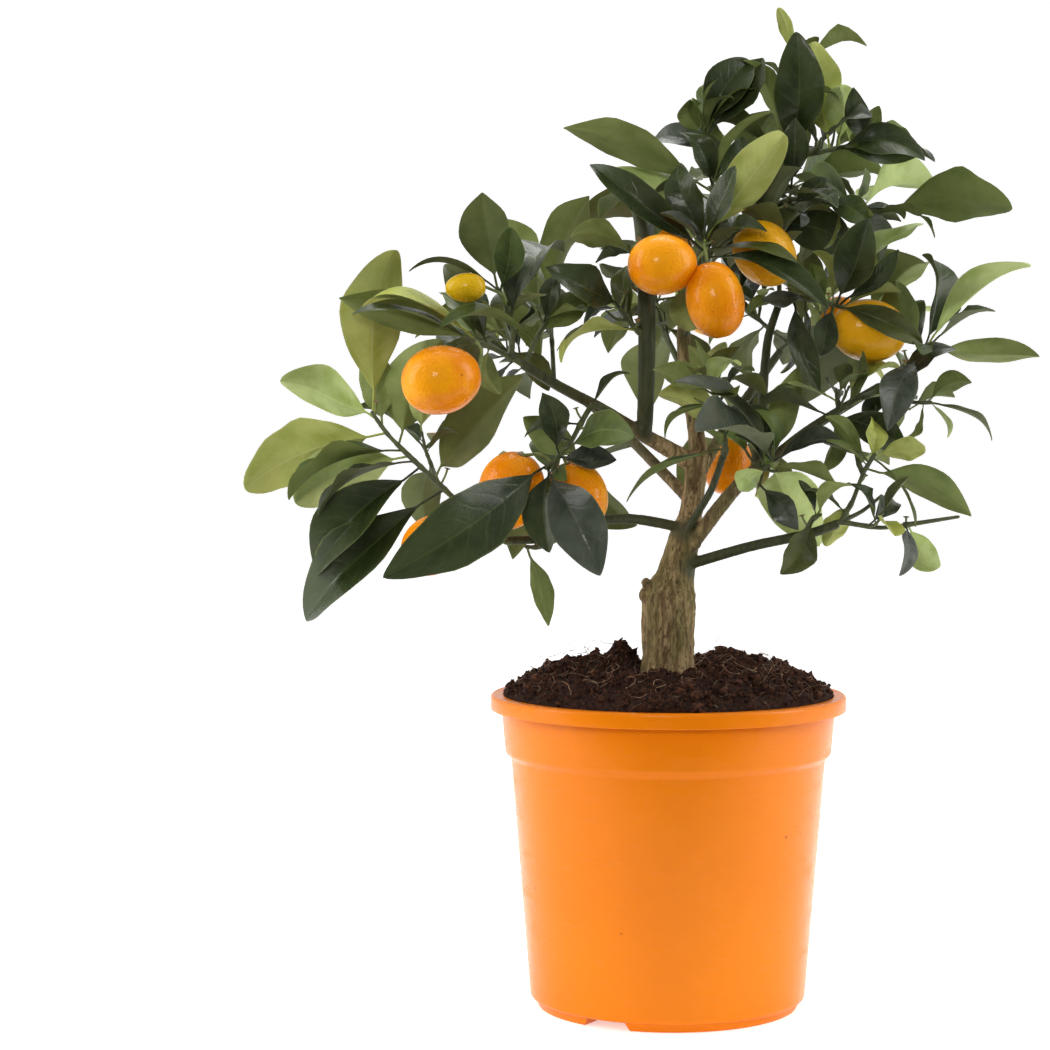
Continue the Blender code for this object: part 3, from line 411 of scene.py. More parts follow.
def limb_paths():
    """The path and radii of every limb, by name."""
    paths = {}
    for name, limb in LIMBS.items():
        route = [place(point) for point in limb.route]
        if limb.parent:
            route.insert(0, along(paths[limb.parent][0], limb.at)[0])
        radii = [radius * MM for radius in limb.radii]
        paths[name] = smooth(route, LIMB_STEPS), between(radii, LIMB_STEPS)
    return paths


def clock(hour, lean):
    """What points to an hour, one unit long as seen from the front, and leans away from the viewer."""
    turn = math.radians(hour * 30)
    return Vector((math.sin(turn), 0, math.cos(turn))) + AWAY * math.tan(math.radians(lean))


def upper_side(heading, twig_heading, shown, rng):
    """Where a leaf's upper side looks: up and towards the twig's tip, or as its mark says."""
    wanted = {"u": AWAY + UP * 0.5, "o": UP * 0.3 - AWAY, "e": UP}.get(shown, twig_heading * 0.7 + UP * 0.75)
    wanted = wanted + Vector([rng.uniform(-0.2, 0.2) for _ in range(3)])
    face = wanted - heading * wanted.dot(heading)
    if face.length < 0.2:
        face = -AWAY - heading * -AWAY.dot(heading)
    return face.normalized()


def free_leaf(root, heading_of, twig_heading, length, aspect, tone, shown, rng, standing, own):
    """The first leaf, over all nudges, that meets nothing. One that cuts its own mass is second choice."""
    second = None
    arch = rng.uniform(0.12, 0.24)
    aspect *= rng.uniform(0.9, 1.12)
    state = rng.getstate()
    for shrink in SHRINKS:
        for turn, tilt in NUDGES:
            rng.setstate(state)
            heading = heading_of(turn, tilt)
            size = length * shrink * heading.length
            heading.normalize()
            face = upper_side(heading, twig_heading, shown, rng)
            width = aspect * (size * length * shrink) ** 0.5
            leaf = Leaf(root, root + heading * size * 0.95, face, arch, size, width, tone)
            solid = leaf_solid(leaf, CLEARANCE)
            if meets(solid, standing):
                continue
            outer = solid[0][3:], [tuple(i - 3 for i in polygon) for polygon in solid[1] if min(polygon) >= 3]
            if not meets(outer, own):
                return leaf, outer
            second = second or (leaf, outer)
    return second


def marked_leaves(marks, rng):
    """Each mark's place on the twig, length, aspect, tone, side shown, and what gives its nudged heading."""
    for share, hour, tone, length, more in MARK.findall(marks):
        lean = rng.uniform(-20, 20) + 32 * (more.count(">") - more.count("<"))
        length = float(length) * MM
        shown = more.strip("<>nb")
        aspect = LEAF_ASPECTS[TONES[tone]] * (SLENDER if "n" in more else BROAD if "b" in more else 1)

        def heading_of(turn, tilt, hour=float(hour), lean=lean):
            return clock(hour + turn / 30, lean + tilt)

        yield int(share) / 100, length, aspect, TONES[tone], shown, heading_of


def spiral_leaves(count, size, path, rng):
    """The same for leaves in a spiral round a twig."""
    start = rng.uniform(0, math.tau)
    heading = (path[-1] - path[0]).normalized()
    across = heading.orthogonal().normalized()
    for k in range(count):
        spread = math.radians(66 - 34 * k / count)
        length = LEAF_LENGTH * MM * size * rng.uniform(0.8, 1.2)
        tone = rng.choices(("dark", "green", "young"), (6, 4, 1))[0]

        def heading_of(turn, tilt, angle=start + k * SPIRAL_STEP, spread=spread):
            radial = Matrix.Rotation(angle + math.radians(turn * 2), 3, heading) @ across
            out = spread + math.radians(tilt)
            return (heading * math.cos(out) + radial * math.sin(out) - UP * 0.12).normalized()

        yield 0.25 + 0.74 * ((k + 1) / count) ** 0.8, length, LEAF_ASPECTS[tone], tone, "", heading_of


def grow_twigs(mass, limb_path, standing):
    """The paths and radii of a mass's twigs. A twig that would meet anything outside the mass stays None."""
    paths = []
    for twig in mass.twigs:
        route = [place(point) for point in twig.route]
        thick, hidden = 1.1 * TWIG_RADIUS, 1
        if twig.parent is None:
            start, heading = along(limb_path, mass.at)
            thick, hidden = 1.5 * TWIG_RADIUS, TWIG_STEPS
            if mass.at == 1:
                route.insert(0, start + heading * 2 * MM)
                start -= heading * 3 * MM
        elif paths[twig.parent]:
            start = along(paths[twig.parent][0], twig.at)[0]
        else:
            paths.append(None)
            continue
        path = smooth([start, *route], TWIG_STEPS)
        radii = [(thick + (TWIG_RADIUS * 0.7 - thick) * k / (len(path) - 1)) * MM for k in range(len(path))]
        free = not meets(tube(path[hidden:], [radius + GAP for radius in radii[hidden:]], 4), standing)
        paths.append((path, radii) if free else None)
    return paths


def grow_fruit(fruit, path, standing):
    """A fruit that hangs from a twig on an arching stalk, or None where it would meet something."""
    axis = clock(fruit.hour, fruit.lean).normalized()
    centre, length = place(fruit.centre), fruit.length * MM
    start = along(path, fruit.at)[0]
    end = centre - axis * length / 2
    middle = (start + end) / 2 + (UP - axis).normalized() * (end - start).length * 0.15
    stalk = smooth([start, middle, end + axis * 2 * MM], TWIG_STEPS)
    ovoid = Ovoid(centre, axis, length, fruit.width * MM, stalk)
    bar = tube(stalk[1:], [2 * STALK_RADIUS * MM] * (len(stalk) - 1), 4)
    shapes = [ovoid_solid(ovoid, spare=CLEARANCE), bar]
    return None if any(meets(shape, standing) for shape in shapes) else ovoid


def grow_frame(mass, limb_path, standing):
    """The twigs and fruit of one mass, with no leaves yet."""
    paths = grow_twigs(mass, limb_path, standing)
    borne = [(fruit, paths[fruit.twig]) for fruit in mass.fruits if paths[fruit.twig]]
    fruits = [grow_fruit(fruit, bar[0], standing) for fruit, bar in borne]
    return Growth(paths, [], [fruit for fruit in fruits if fruit])


def grow_leaves(name, frame, standing):
    """Adds the leaves of one mass to its frame. One that would meet a limb or another mass is left out."""
    rng = random.Random(name)
    shapes = [ovoid_solid(fruit, spare=0.3 * CLEARANCE) for fruit in frame.fruits]
    own = [tree_of(shapes)] if shapes else []
    for twig, bar in zip(MASSES[name].twigs, frame.paths):
        if bar is None:
            continue
        if isinstance(twig.leaves, int):
            wanted = list(spiral_leaves(twig.leaves, twig.size, bar[0], rng))
        else:
            wanted = list(marked_leaves(twig.leaves, rng))
        for share, length, aspect, tone, shown, heading_of in wanted:
            root, twig_heading = along(bar[0], share)
            found = free_leaf(root, heading_of, twig_heading, length, aspect, tone, shown, rng, standing, own)
            if found:
                frame.leaves.append(found[0])
                own.append(tree_of([found[1]]))


def frame_solids(frame):
    """The twigs, fruit and stalks of a mass as (corners, faces), the stem first."""
    solids = [tube(*bar, 5 if i == 0 else 3) for i, bar in enumerate(frame.paths) if bar]
    for fruit in frame.fruits:
        solids.append(ovoid_solid(fruit))
        solids.append(tube(fruit.stalk, [STALK_RADIUS * MM] * len(fruit.stalk), 3))
    return solids


def grow_tree():
    """All limb paths, and the growth of every mass in the order of the table."""
    limbs = limb_paths()
    bars = [tube(path, radii, LIMB_SIDES) for path, radii in limbs.values()]
    standing = [tree_of(bars), tree_of([pot_outline()])]
    growths, frames = {}, {}
    for name, mass in MASSES.items():
        growths[name] = grow_frame(mass, limbs[mass.limb][0], [*standing, *frames.values()])
        frames[name] = tree_of(frame_solids(growths[name]))
    for name, growth in growths.items():
        grow_leaves(name, growth, [*standing, *(tree for other, tree in frames.items() if other != name)])
        standing.append(tree_of([leaf_solid(leaf) for leaf in growth.leaves]))
    return limbs, growths


def pot_outline():
    """A plain drum as wide as the pot's rim, for what grows to keep clear of."""
    path = [Vector((0, 0, 0)), Vector((0, 0, (SOIL_AT_TRUNK + 6) * MM))]
    return tube(path, [RIM_RADIUS * MM] * 2, 24)


def add_object(name, solid, material=None, collection=None):
    """A mesh object from (corners, faces), with its faces turned outwards."""
    mesh = bpy.data.meshes.new(name)
    corners, faces = solid
    mesh.from_pydata(corners, [], faces)
    work = bmesh.new()
    work.from_mesh(mesh)
    bmesh.ops.recalc_face_normals(work, faces=work.faces)
    work.to_mesh(mesh)
    work.free()
    if material:
        mesh.materials.append(material)
    obj = bpy.data.objects.new(name, mesh)
    (collection or bpy.context.scene.collection).objects.link(obj)
    return obj


def apply_boolean(obj, operation, solids):
    """Joins the solids to an object or cuts them from it, then removes them and any loose scrap."""
    helpers = bpy.data.collections.new("helpers")
    bpy.context.scene.collection.children.link(helpers)
    for solid in solids:
        add_object("helper", solid, collection=helpers)
    modifier = obj.modifiers.new("join", "BOOLEAN")
    modifier.operation = operation
    modifier.operand_type = "COLLECTION"
    modifier.collection = helpers
    modifier.solver = BOOLEAN_SOLVER
    mesh = bpy.data.meshes.new_from_object(obj.evaluated_get(bpy.context.evaluated_depsgraph_get()))
    obj.modifiers.clear()
    obj.data = mesh
    for helper in list(helpers.objects):
        bpy.data.objects.remove(helper)
    bpy.data.collections.remove(helpers)
    drop_scraps(mesh)


def drop_scraps(mesh):
    """Keeps the largest connected body of a mesh, which also fills a hollow that was sealed inside it."""
    work = bmesh.new()
    work.from_mesh(mesh)
    left, bodies = set(work.verts), []
    while left:
        body, edge = set(), [left.pop()]
        while edge:
            vert = edge.pop()
            body.add(vert)
            for link in vert.link_edges:
                other = link.other_vert(vert)
                if other in left:
                    left.remove(other)
                    edge.append(other)
        bodies.append(body)
    main = max(bodies, key=len)
    bmesh.ops.delete(work, geom=[vert for vert in work.verts if vert not in main], context="VERTS")
    work.to_mesh(mesh)
    work.free()


def pot_profile():
    """The pot's outline as (radius, height) in mm, from its underside's middle out, over the rim and in."""
    body_foot, body_top = 73.8, 84.1
    collar_foot, lip = 137, 160
    return [
        (0, 0), (FOOT_RADIUS, 0), (FOOT_RADIUS + 1.2, FOOT_HEIGHT), (body_foot - 0.9, FOOT_HEIGHT + 0.6),
        (body_foot, FOOT_HEIGHT + 2), (body_top, collar_foot - 3), (COLLAR_RADIUS - 1.8, collar_foot),
        (COLLAR_RADIUS, lip - 2), (COLLAR_RADIUS, POT_HEIGHT - WALL), (RIM_RADIUS - WALL, POT_HEIGHT - WALL),
        (RIM_RADIUS - WALL, lip), (RIM_RADIUS, lip), (RIM_RADIUS, POT_HEIGHT - 1),
        (RIM_RADIUS - 1, POT_HEIGHT), (COLLAR_RADIUS - 0.4, POT_HEIGHT),
        (COLLAR_RADIUS - WALL, POT_HEIGHT - 0.8), (COLLAR_RADIUS - WALL, lip - 2),
        (COLLAR_RADIUS - 1.8 - WALL, collar_foot + 0.5), (body_top - WALL, collar_foot - 3.5),
        (body_foot - WALL, FLOOR_TOP), (0, FLOOR_TOP),
    ]


def turned(profile, sides):
    """A closed outline turned about +Z, as (corners, faces). Its first and last points lie on the axis."""
    rings = profile[1:-1]
    corners = [Vector((0, 0, profile[0][1])) * MM, Vector((0, 0, profile[-1][1])) * MM]
    for k in range(sides):
        turn = math.tau * k / sides
        corners += [Vector((r * math.cos(turn), r * math.sin(turn), z)) * MM for r, z in rings]
    faces, count = [], len(rings)
    for k in range(sides):
        here, there = 2 + k * count, 2 + (k + 1) % sides * count
        faces.append((0, there, here))
        faces.append((1, here + count - 1, there + count - 1))
        faces += [(here + i, there + i, there + i + 1, here + i + 1) for i in range(count - 1)]
    return corners, faces


def notch_solid(turn):
    """A drainage channel with sloping sides, cut into the foot from its edge."""
    turn = math.radians(turn)
    out, across = Vector((math.cos(turn), math.sin(turn), 0)), Vector((-math.sin(turn), math.cos(turn), 0))
    corners = []
    for height, half in ((-1, NOTCH_WIDTH / 2 + 3), (FOOT_HEIGHT, NOTCH_WIDTH / 2)):
        for reach in (FOOT_RADIUS - NOTCH_DEPTH, FOOT_RADIUS + 10):
            corners += [(out * reach + across * half * way + UP * height) * MM for way in (-1, 1)]
    return corners, [(0, 1, 3, 2), (4, 6, 7, 5), (0, 2, 6, 4), (1, 5, 7, 3), (0, 4, 5, 1), (2, 3, 7, 6)]


def soil_height(right, back, rng):
    """The height of the heaped soil above the pot's underside, in mm."""
    radius = math.hypot(right, back)
    height = SOIL_AT_TRUNK + (SOIL_EDGE_HEIGHT - SOIL_AT_TRUNK) * (radius / 87) ** 5
    for mound in MOUNDS:
        apart = math.hypot(right - mound.right, back - mound.back) / mound.spread
        height += mound.height * math.exp(-(apart**2) / 2) * min(1, (radius - SOIL_FLAT_RADIUS) / 4)
    return height + rng.uniform(-SOIL_ROUGHNESS, SOIL_ROUGHNESS)


# Leaf blades

ROWS = 24  # of points along a full-grown leaf
SMALL_ROWS = 13
ACROSS = np.array((-1, -0.9, -0.66, -0.34, -0.09, 0, 0.09, 0.34, 0.66, 0.9, 1))
RING = 2 * (len(ACROSS) - 1)
BLADE_THICKNESS = 0.45
CALM_LENGTH = 45
WIDEST = 34  # a leaf that leans far is drawn no wider than this
RIB_THICKNESS = 0.5  # what the midrib adds under the blade's foot
UPPER_MAP, UNDER_MAP, MAP_WIDTH = 0.02, 0.52, 0.46  # where each side starts on the map, and its width there
Blade = namedtuple("Blade", "fold uneven waves swing ripple phase twist droop foot tip bulge sweep")


def blade_of(leaf, rng):
    """The seeded shape of one leaf's blade. A long leaf is bent less for its length."""
    calm = min(1, CALM_LENGTH * MM / leaf.length)
    young = leaf.tone == "young"
    return Blade(
        fold=rng.uniform(0.15, 0.8),
        uneven=rng.uniform(-0.35, 0.35),
        waves=rng.uniform(1.0, 2.4),
        swing=rng.uniform(0.05, 0.2),
        ripple=rng.uniform(0.01, 0.045),
        phase=rng.uniform(0, math.tau),
        twist=rng.uniform(-0.6, 0.6) * calm,
        droop=rng.uniform(-0.04, 0.2) * calm,
        foot=rng.uniform(0.95, 1.2),
        tip=rng.uniform(0.5, 0.62) if young else rng.choice((rng.uniform(0.66, 0.8), rng.uniform(0.8, 1.05))),
        bulge=rng.uniform(1.0, 1.18),
        sweep=rng.uniform(-0.11, 0.11) * calm * min(1, 0.4 * leaf.length / leaf.width),
    )


def blade_shares(rows):
    """Shares of the leaf's length for its rings, closer along the stalk, the blade's foot and the tip."""
    stalk = np.linspace(0, STALK_SHARE, 4)[:-1]
    blade = (1 - np.cos(np.linspace(0.12, math.pi - 0.1, rows - 3))) / 2
    blade = (blade - blade[0]) / (1 - blade[0])
    return np.concatenate([stalk, STALK_SHARE + blade * (1 - STALK_SHARE)])


def blade_corners(leaf, rng, rows):
    """The corners of a leaf: rings round its stalk and blade, and the tip."""
    blade = blade_of(leaf, rng)
    s = blade_shares(rows)[:, None]
    root, tip, face = (np.array(v) for v in (leaf.root, leaf.tip, leaf.face))
    crown = (root + tip) / 2 + face * leaf.arch * leaf.length
    centre = root * (1 - s) ** 2 + crown * 2 * s * (1 - s) + tip * s**2
    heading = (crown - root) * (1 - s) + (tip - crown) * s
    heading /= np.linalg.norm(heading, axis=1)[:, None]
    side = np.cross(heading, face)
    side /= np.linalg.norm(side, axis=1)[:, None]
    out = np.cross(side, heading)
    b = np.clip((s - STALK_SHARE) / (1 - STALK_SHARE), 0, 1)
    turn = blade.twist * b
    side, out = side * np.cos(turn) + out * np.sin(turn), out * np.cos(turn) - side * np.sin(turn)
    stalk = STALK_THICKNESS * MM / 2 * min(1, leaf.length / (40 * MM))
    outline = np.abs(np.sin(math.pi * b**blade.bulge)) ** (blade.foot + (blade.tip - blade.foot) * b)
    width = np.maximum(stalk, min(leaf.width, WIDEST * MM) / 2 * outline)
    centre = centre + side * blade.sweep * leaf.length * 4 * b * (1 - b)
    opened = np.clip(b / 0.08, 0, 1)
    u = ACROSS[None, :]
    wave = np.sin(math.tau * blade.waves * b + blade.phase + 0.9 * np.sign(u)) * blade.swing * u**2
    fold = blade.fold * (1 + blade.uneven * np.sign(u)) * (np.sqrt(u**2 + 0.02) - 0.14)
    lift = width * opened * (fold + wave)
    lift = lift - blade.droop * leaf.length * np.clip((b - 0.55) / 0.45, 0, 1) ** 2
    lift = lift - 0.12 * MM * opened * np.exp(-((u / 0.1) ** 2))
    round_half = stalk * 0.85 * np.sqrt(np.clip(1 - u**2, 0, 1))
    flat_half = BLADE_THICKNESS * MM / 2 * (1 - u**8)
    half = round_half * (1 - opened) + flat_half * opened
    rib = RIB_THICKNESS * MM * opened * (1 - b) * np.exp(-((u / 0.12) ** 2))
    ripple = np.sin(math.tau * blade.waves * 1.7 * b + 2 * blade.phase + 1.3 * np.sign(u))
    reach = u * width * (1 + blade.ripple * ripple * np.abs(u))
    middle = centre[:, None, :] + side[:, None, :] * reach[:, :, None]
    upper = middle + out[:, None, :] * (lift + half)[:, :, None]
    under = middle + out[:, None, :] * (lift - half - rib)[:, :, None]
    rings = np.concatenate([upper, under[:, -2:0:-1]], axis=1)[:-1]
    point = centre[-1] + out[-1] * float(lift[-1, len(ACROSS) // 2])
    return np.concatenate([rings.reshape(-1, 3), point[None]])


def blade_faces(rows):
    """The faces of a leaf and their corners' places on the map, whose left half is for the upper side."""
    last = len(ACROSS) - 1
    shares = blade_shares(rows)
    upper = [UPPER_MAP + MAP_WIDTH * (u + 1) / 2 for u in ACROSS]
    under = [UNDER_MAP + MAP_WIDTH * (u + 1) / 2 for u in ACROSS]
    faces, places = [], []
    for ring in range(len(shares) - 1):
        low, high = shares[ring], shares[ring + 1]
        for k in range(RING):
            a, b = ring * RING + k, ring * RING + (k + 1) % RING
            left, right = (upper[k], upper[k + 1]) if k < last else (under[RING - k], under[RING - k - 1])
            if ring < len(shares) - 2:
                faces.append((a, b, b + RING, a + RING))
                places.append(((left, low), (right, low), (right, high), (left, high)))
            else:
                faces.append((a, b, (len(shares) - 1) * RING))
                places.append(((left, low), (right, low), ((left + right) / 2, high)))
    faces.append(tuple(range(RING - 1, -1, -1)))
    turns = [math.tau * k / RING for k in range(RING)]
    places.append(tuple((0.5 + 0.008 * math.cos(turn), 0.02 + 0.008 * math.sin(turn)) for turn in turns))
    return faces, places


def leaf_mesh(name, leaves):
    """One mesh of many leaves, each a (leaf, rows) pair, all on one map."""
    rng = random.Random(name)
    corners, faces, places = [], [], []
    layouts = {rows: blade_faces(rows) for rows in {rows for _, rows in leaves}}
    start = 0
    for leaf, rows in leaves:
        points = blade_corners(leaf, rng, rows)
        own_faces, own_places = layouts[rows]
        faces += [tuple(start + i for i in face) for face in own_faces]
        places += own_places
        corners.append(points)
        start += len(points)
    mesh = bpy.data.meshes.new(name)
    mesh.from_pydata(np.concatenate(corners), [], faces)
    layer = mesh.uv_layers.new(name="OFBake")
    layer.data.foreach_set("uv", np.array([place for face in places for place in face]).ravel())
    return mesh


# Finer growth, on the same twigs and inside the same reach

# Marks of more leaves, like the ones above, by mass and by the twig's place in its mass.
MORE_MARKS = {
    "foliage_left": {0: "59:10.8d31> 74:10.4g35>", 2: "85:0.4d30"},
    "foliage_upper_left": {0: "88:3.3d47<n 99:10.1d29> 99:0.4g36>", 1: "97:11.1d34o> 99:0.7g37o"},
    "foliage_top": {1: "88:1.2d56o 91:1.4g43 99:0.8g36>",
                    2: "61:2.0g22u 64:3.2d46o< 67:11.9y32u> 95:11.3d31o 99:0.4g22u> 99:2.7g26u>"},
    "foliage_top_right": {0: "54:4.4d32> 70:3.9g31ob< 79:10.4d29> 87:0.5g26 90:9.2g40o 93:3.2d23u"},
    "foliage_middle_right": {0: "15:8.6g22 49:6.6d43> 79:11.4g24o 87:6.3d30ob 92:0.9d50o>"},
    "foliage_right": {0: "92:11.4d31>"},
    "foliage_centre": {0: "68:10.6g26 99:10.5d52< 99:11.7g32"},
    "foliage_front": {0: "12:10.3g22< 29:0.9d28 47:10.0y39u 50:10.6d22 89:11.1g30u> 96:0.6y25u>"},
}
SHOOT_RADIUS = 0.75
SHOOTS = {
    "foliage_left": 3, "foliage_far_left": 1, "foliage_inner_left": 2, "foliage_pruned_side": 2,
    "foliage_upper_left": 4, "foliage_top": 7, "foliage_top_right": 5, "foliage_middle_right": 7,
    "foliage_right": 3, "foliage_low_right": 3, "foliage_right_inner": 3, "foliage_centre": 5,
    "foliage_front": 3, "foliage_back_left": 4, "foliage_back_centre": 3, "foliage_back_low": 3,
    "foliage_back_right": 6, "foliage_back_top": 7, "foliage_back_middle": 4,
}
SHOOT_LEAVES = 3
SHOOT_LENGTH = (8, 20)
SMALL_LEAF = (20, 42)
SPUR_LENGTH = (5, 11)  # of the stalks that fruit has dropped from
SPUR_RADIUS = 0.62
FINE_STALK_RADIUS = 0.85  # of the stalks that bear fruit
SPURS = 3


def leaf_and_fruit_solids(growth):
    return [leaf_solid(leaf) for leaf in growth.leaves] + [ovoid_solid(fruit) for fruit in growth.fruits]


def grow_more(name, growth, standing):
    """Leaves at a mass's further marks. One that would meet a limb or another mass is left out."""
    rng = random.Random("more of " + name)
    own = [tree_of(leaf_and_fruit_solids(growth))]
    for twig, marks in MORE_MARKS.get(name, {}).items():
        path = growth.paths[twig][0]
        for share, length, aspect, tone, shown, heading_of in marked_leaves(marks, rng):
            root, twig_heading = along(path, share)
            found = free_leaf(root, heading_of, twig_heading, length, aspect, tone, shown, rng, standing, own)
            if found:
                growth.leaves.append(found[0])
                own.append(tree_of([found[1]]))


def grow_shoots(name, growth, standing):
    """Short shoots with small leaves, and bare spurs. One that would meet anything is left out."""
    rng = random.Random("shoots of " + name)
    own = [tree_of(leaf_and_fruit_solids(growth))]
    bars = [bar for bar in growth.paths if bar]
    shoots, leaves, spurs = [], [], []
    for _ in range(SHOOTS.get(name, 0)):
        path, _radii = rng.choice(bars)
        root, heading = along(path, rng.uniform(0.3, 0.97))
        way = Matrix.Rotation(rng.uniform(0, math.tau), 3, heading) @ heading.orthogonal().normalized()
        way = (way + heading * rng.uniform(0.2, 0.8) + UP * 0.5).normalized()
        length = rng.uniform(*SHOOT_LENGTH) * MM
        middle = root + way * length * 0.5
        shoot = smooth([root, middle, root + (way + UP * 0.25).normalized() * length], 3)
        if meets(tube(shoot[2:], [SHOOT_RADIUS * MM * 1.5] * (len(shoot) - 2), 4), [*standing, *own]):
            continue
        taper = np.linspace(1.25, 0.75, len(shoot))
        shoots.append((shoot, [SHOOT_RADIUS * MM * share for share in taper.tolist()]))
        found = small_leaves(shoot, rng, [*standing, *own])
        leaves += found
        own.append(tree_of([leaf_solid(leaf) for leaf in found] or [tube(*shoots[-1], 4)]))
    for _ in range(SPURS if len(growth.leaves) > 5 else 1):
        path, _radii = rng.choice(bars)
        root, heading = along(path, rng.uniform(0.3, 1))
        way = Matrix.Rotation(rng.uniform(0, math.tau), 3, heading) @ heading.orthogonal().normalized()
        end = root + (way + UP * 0.9).normalized() * rng.uniform(*SPUR_LENGTH) * MM
        spur = smooth([root, (root + end) / 2 + way * MM, end], 3)
        if not meets(tube(spur[2:], [MM] * (len(spur) - 2), 4), [*standing, *own]):
            spurs.append(spur)
    return shoots, leaves, spurs


def small_leaves(shoot, rng, trees):
    """Small leaves in a spiral round a shoot's upper part."""
    found = []
    start = rng.uniform(0, math.tau)
    for k in range(SHOOT_LEAVES):
        root, heading = along(shoot, 0.45 + 0.54 * k / (SHOOT_LEAVES - 1))
        radial = Matrix.Rotation(start + k * SPIRAL_STEP, 3, heading) @ heading.orthogonal().normalized()
        spread = math.radians(70 - 14 * k)
        way = (heading * math.cos(spread) + radial * math.sin(spread)).normalized()
        length = rng.uniform(*SMALL_LEAF) * MM
        face = upper_side(way, heading, "", rng)
        tone = rng.choices(("dark", "green", "young"), (5, 4, 1))[0]
        tip, arch = root + way * length * 0.95, rng.uniform(0.08, 0.2)
        leaf = Leaf(root, tip, face, arch, length, length * LEAF_ASPECTS[tone], tone)
        if not meets(leaf_solid(leaf), trees):
            found.append(leaf)
    return found


# Twigs, stalks and fruit

TWIG_SIDES = 8
NODE_SWELL = 0.3  # how much thicker a twig is where a leaf leaves it
NODE_REACH = 1.6
FRUIT_SIDES, FRUIT_RINGS = 44, 30
CALYX_RADIUS = 2.6
CALYX_LOBES = 5


def joined(solids):
    """Several (corners, faces) as one."""
    corners, faces = [], []
    for points, polygons in solids:
        faces += [tuple(len(corners) + i for i in polygon) for polygon in polygons]
        corners += list(points)
    return corners, faces


def twig_tube(path, radii, leaves, rounds=4):
    """A twig with swollen joints where its leaves leave it, and a rounded tip."""
    fine = smooth(path, rounds)
    thick = between(radii, rounds)
    roots = [leaf.root for leaf in leaves]
    for i, point in enumerate(fine):
        nearest = min(((point - root).length for root in roots), default=1)
        thick[i] *= 1 + NODE_SWELL * math.exp(-((nearest / (NODE_REACH * MM)) ** 2))
    heading = (fine[-1] - fine[-2]).normalized()
    fine += [fine[-1] + heading * thick[-1] * 0.6, fine[-1] + heading * thick[-1]]
    thick += [thick[-1] * 0.75, thick[-1] * 0.25]
    return tube(fine, thick, TWIG_SIDES)


def calyx(point, axis, radius):
    """A little five-lobed star that a fruit hangs from, its face along the axis."""
    across = axis.orthogonal().normalized()
    other = axis.cross(across)
    count = CALYX_LOBES * 4
    corners, faces = [], []
    for lift, share in ((-0.28, 0.35), (-0.05, 1.0), (0.16, 0.97), (0.3, 0.3)):
        for k in range(count):
            turn = math.tau * k / count
            reach = radius * share * (1 + (0.24 * math.cos(turn * CALYX_LOBES) if share > 0.9 else 0))
            spoke = across * math.cos(turn) + other * math.sin(turn)
            corners.append(point + spoke * reach + axis * radius * lift)
    for ring in range(3):
        for k in range(count):
            a, b = ring * count + k, ring * count + (k + 1) % count
            faces.append((a, b, b + count, a + count))
    faces.append(tuple(range(count - 1, -1, -1)))
    faces.append(tuple(range(3 * count, 4 * count)))
    return corners, faces


def fruit_body(fruit, rng):
    """An oval fruit: a little uneven, dimpled at its stalk and with a small scar at its far end."""
    across = fruit.axis.orthogonal().normalized()
    other = fruit.axis.cross(across)
    uneven, lean = rng.uniform(0, 9), rng.uniform(-0.06, 0.06)
    corners, faces = [], []
    for ring in range(FRUIT_RINGS + 1):
        tilt = math.pi * ring / FRUIT_RINGS
        up = -math.cos(tilt) * fruit.length / 2
        near_stalk = math.exp(-((tilt / 0.16) ** 2))
        near_scar = math.exp(-(((math.pi - tilt) / 0.09) ** 2))
        up += (near_stalk * 0.035 - near_scar * 0.02) * fruit.length
        radius = math.sin(tilt) ** 0.96 * fruit.width / 2 * (1 + lean * math.cos(tilt))
        if ring in (0, FRUIT_RINGS):
            corners.append(fruit.centre + fruit.axis * up)
            continue
        for k in range(FRUIT_SIDES):
            turn = math.tau * k / FRUIT_SIDES
            way = across * math.cos(turn) + other * math.sin(turn)
            swell = 1 + 0.018 * noise.noise(way * 1.3 + Vector((uneven, tilt, 0)))
            corners.append(fruit.centre + fruit.axis * up + way * radius * swell)
    for k in range(FRUIT_SIDES):
        nxt = (k + 1) % FRUIT_SIDES
        faces.append((0, 1 + nxt, 1 + k))
        for ring in range(FRUIT_RINGS - 2):
            low, high = 1 + ring * FRUIT_SIDES, 1 + (ring + 1) * FRUIT_SIDES
            faces.append((low + k, low + nxt, high + nxt, high + k))
        last = 1 + (FRUIT_RINGS - 2) * FRUIT_SIDES
        faces.append((last + k, last + nxt, len(corners) - 1))
    return corners, faces


# The wood

WOOD_SIDES = 20
WOOD_STEPS = 8
WOOD_GRAIN = 0.85 * MM  # size of the net that the limbs are fused on
WOOD_EASE = 6
AGE_EASE = 30
FURROW_DEPTH = 0.75
BOUGH_FURROW = 0.16
# How woody each limb's bark is, at its foot and at its tip: 1 is old brown bark, 0 is green.
AGES = {
    "trunk": (1.0, 1.0), "bough_left": (0.85, 0.2), "bough_pruned": (0.2, 0.0), "bough_leader": (0.9, 0.2),
    "bough_right": (0.75, 0.2), "bough_middle": (0.4, 0.1), "bough_low_right": (0.35, 0.15),
    "bough_low_left": (0.4, 0.15), "bough_front": (0.4, 0.1), "bough_back_left": (0.7, 0.15),
    "bough_back_right": (0.7, 0.15), "bough_back_top": (0.4, 0.1),
}
Knob = namedtuple("Knob", "place radius")
KNOBS = (Knob((-11.5, -4, 221), 4.6), Knob((-12, -5, 228), 2.6), Knob((11.5, -3, 221), 3.4),
         Knob((14, -8, 249), 3.4))


def knob_solid(knob):
    return ovoid_solid(Ovoid(place(knob.place), UP, knob.radius * 2 * MM, knob.radius * 2 * MM, None), 12, 7)


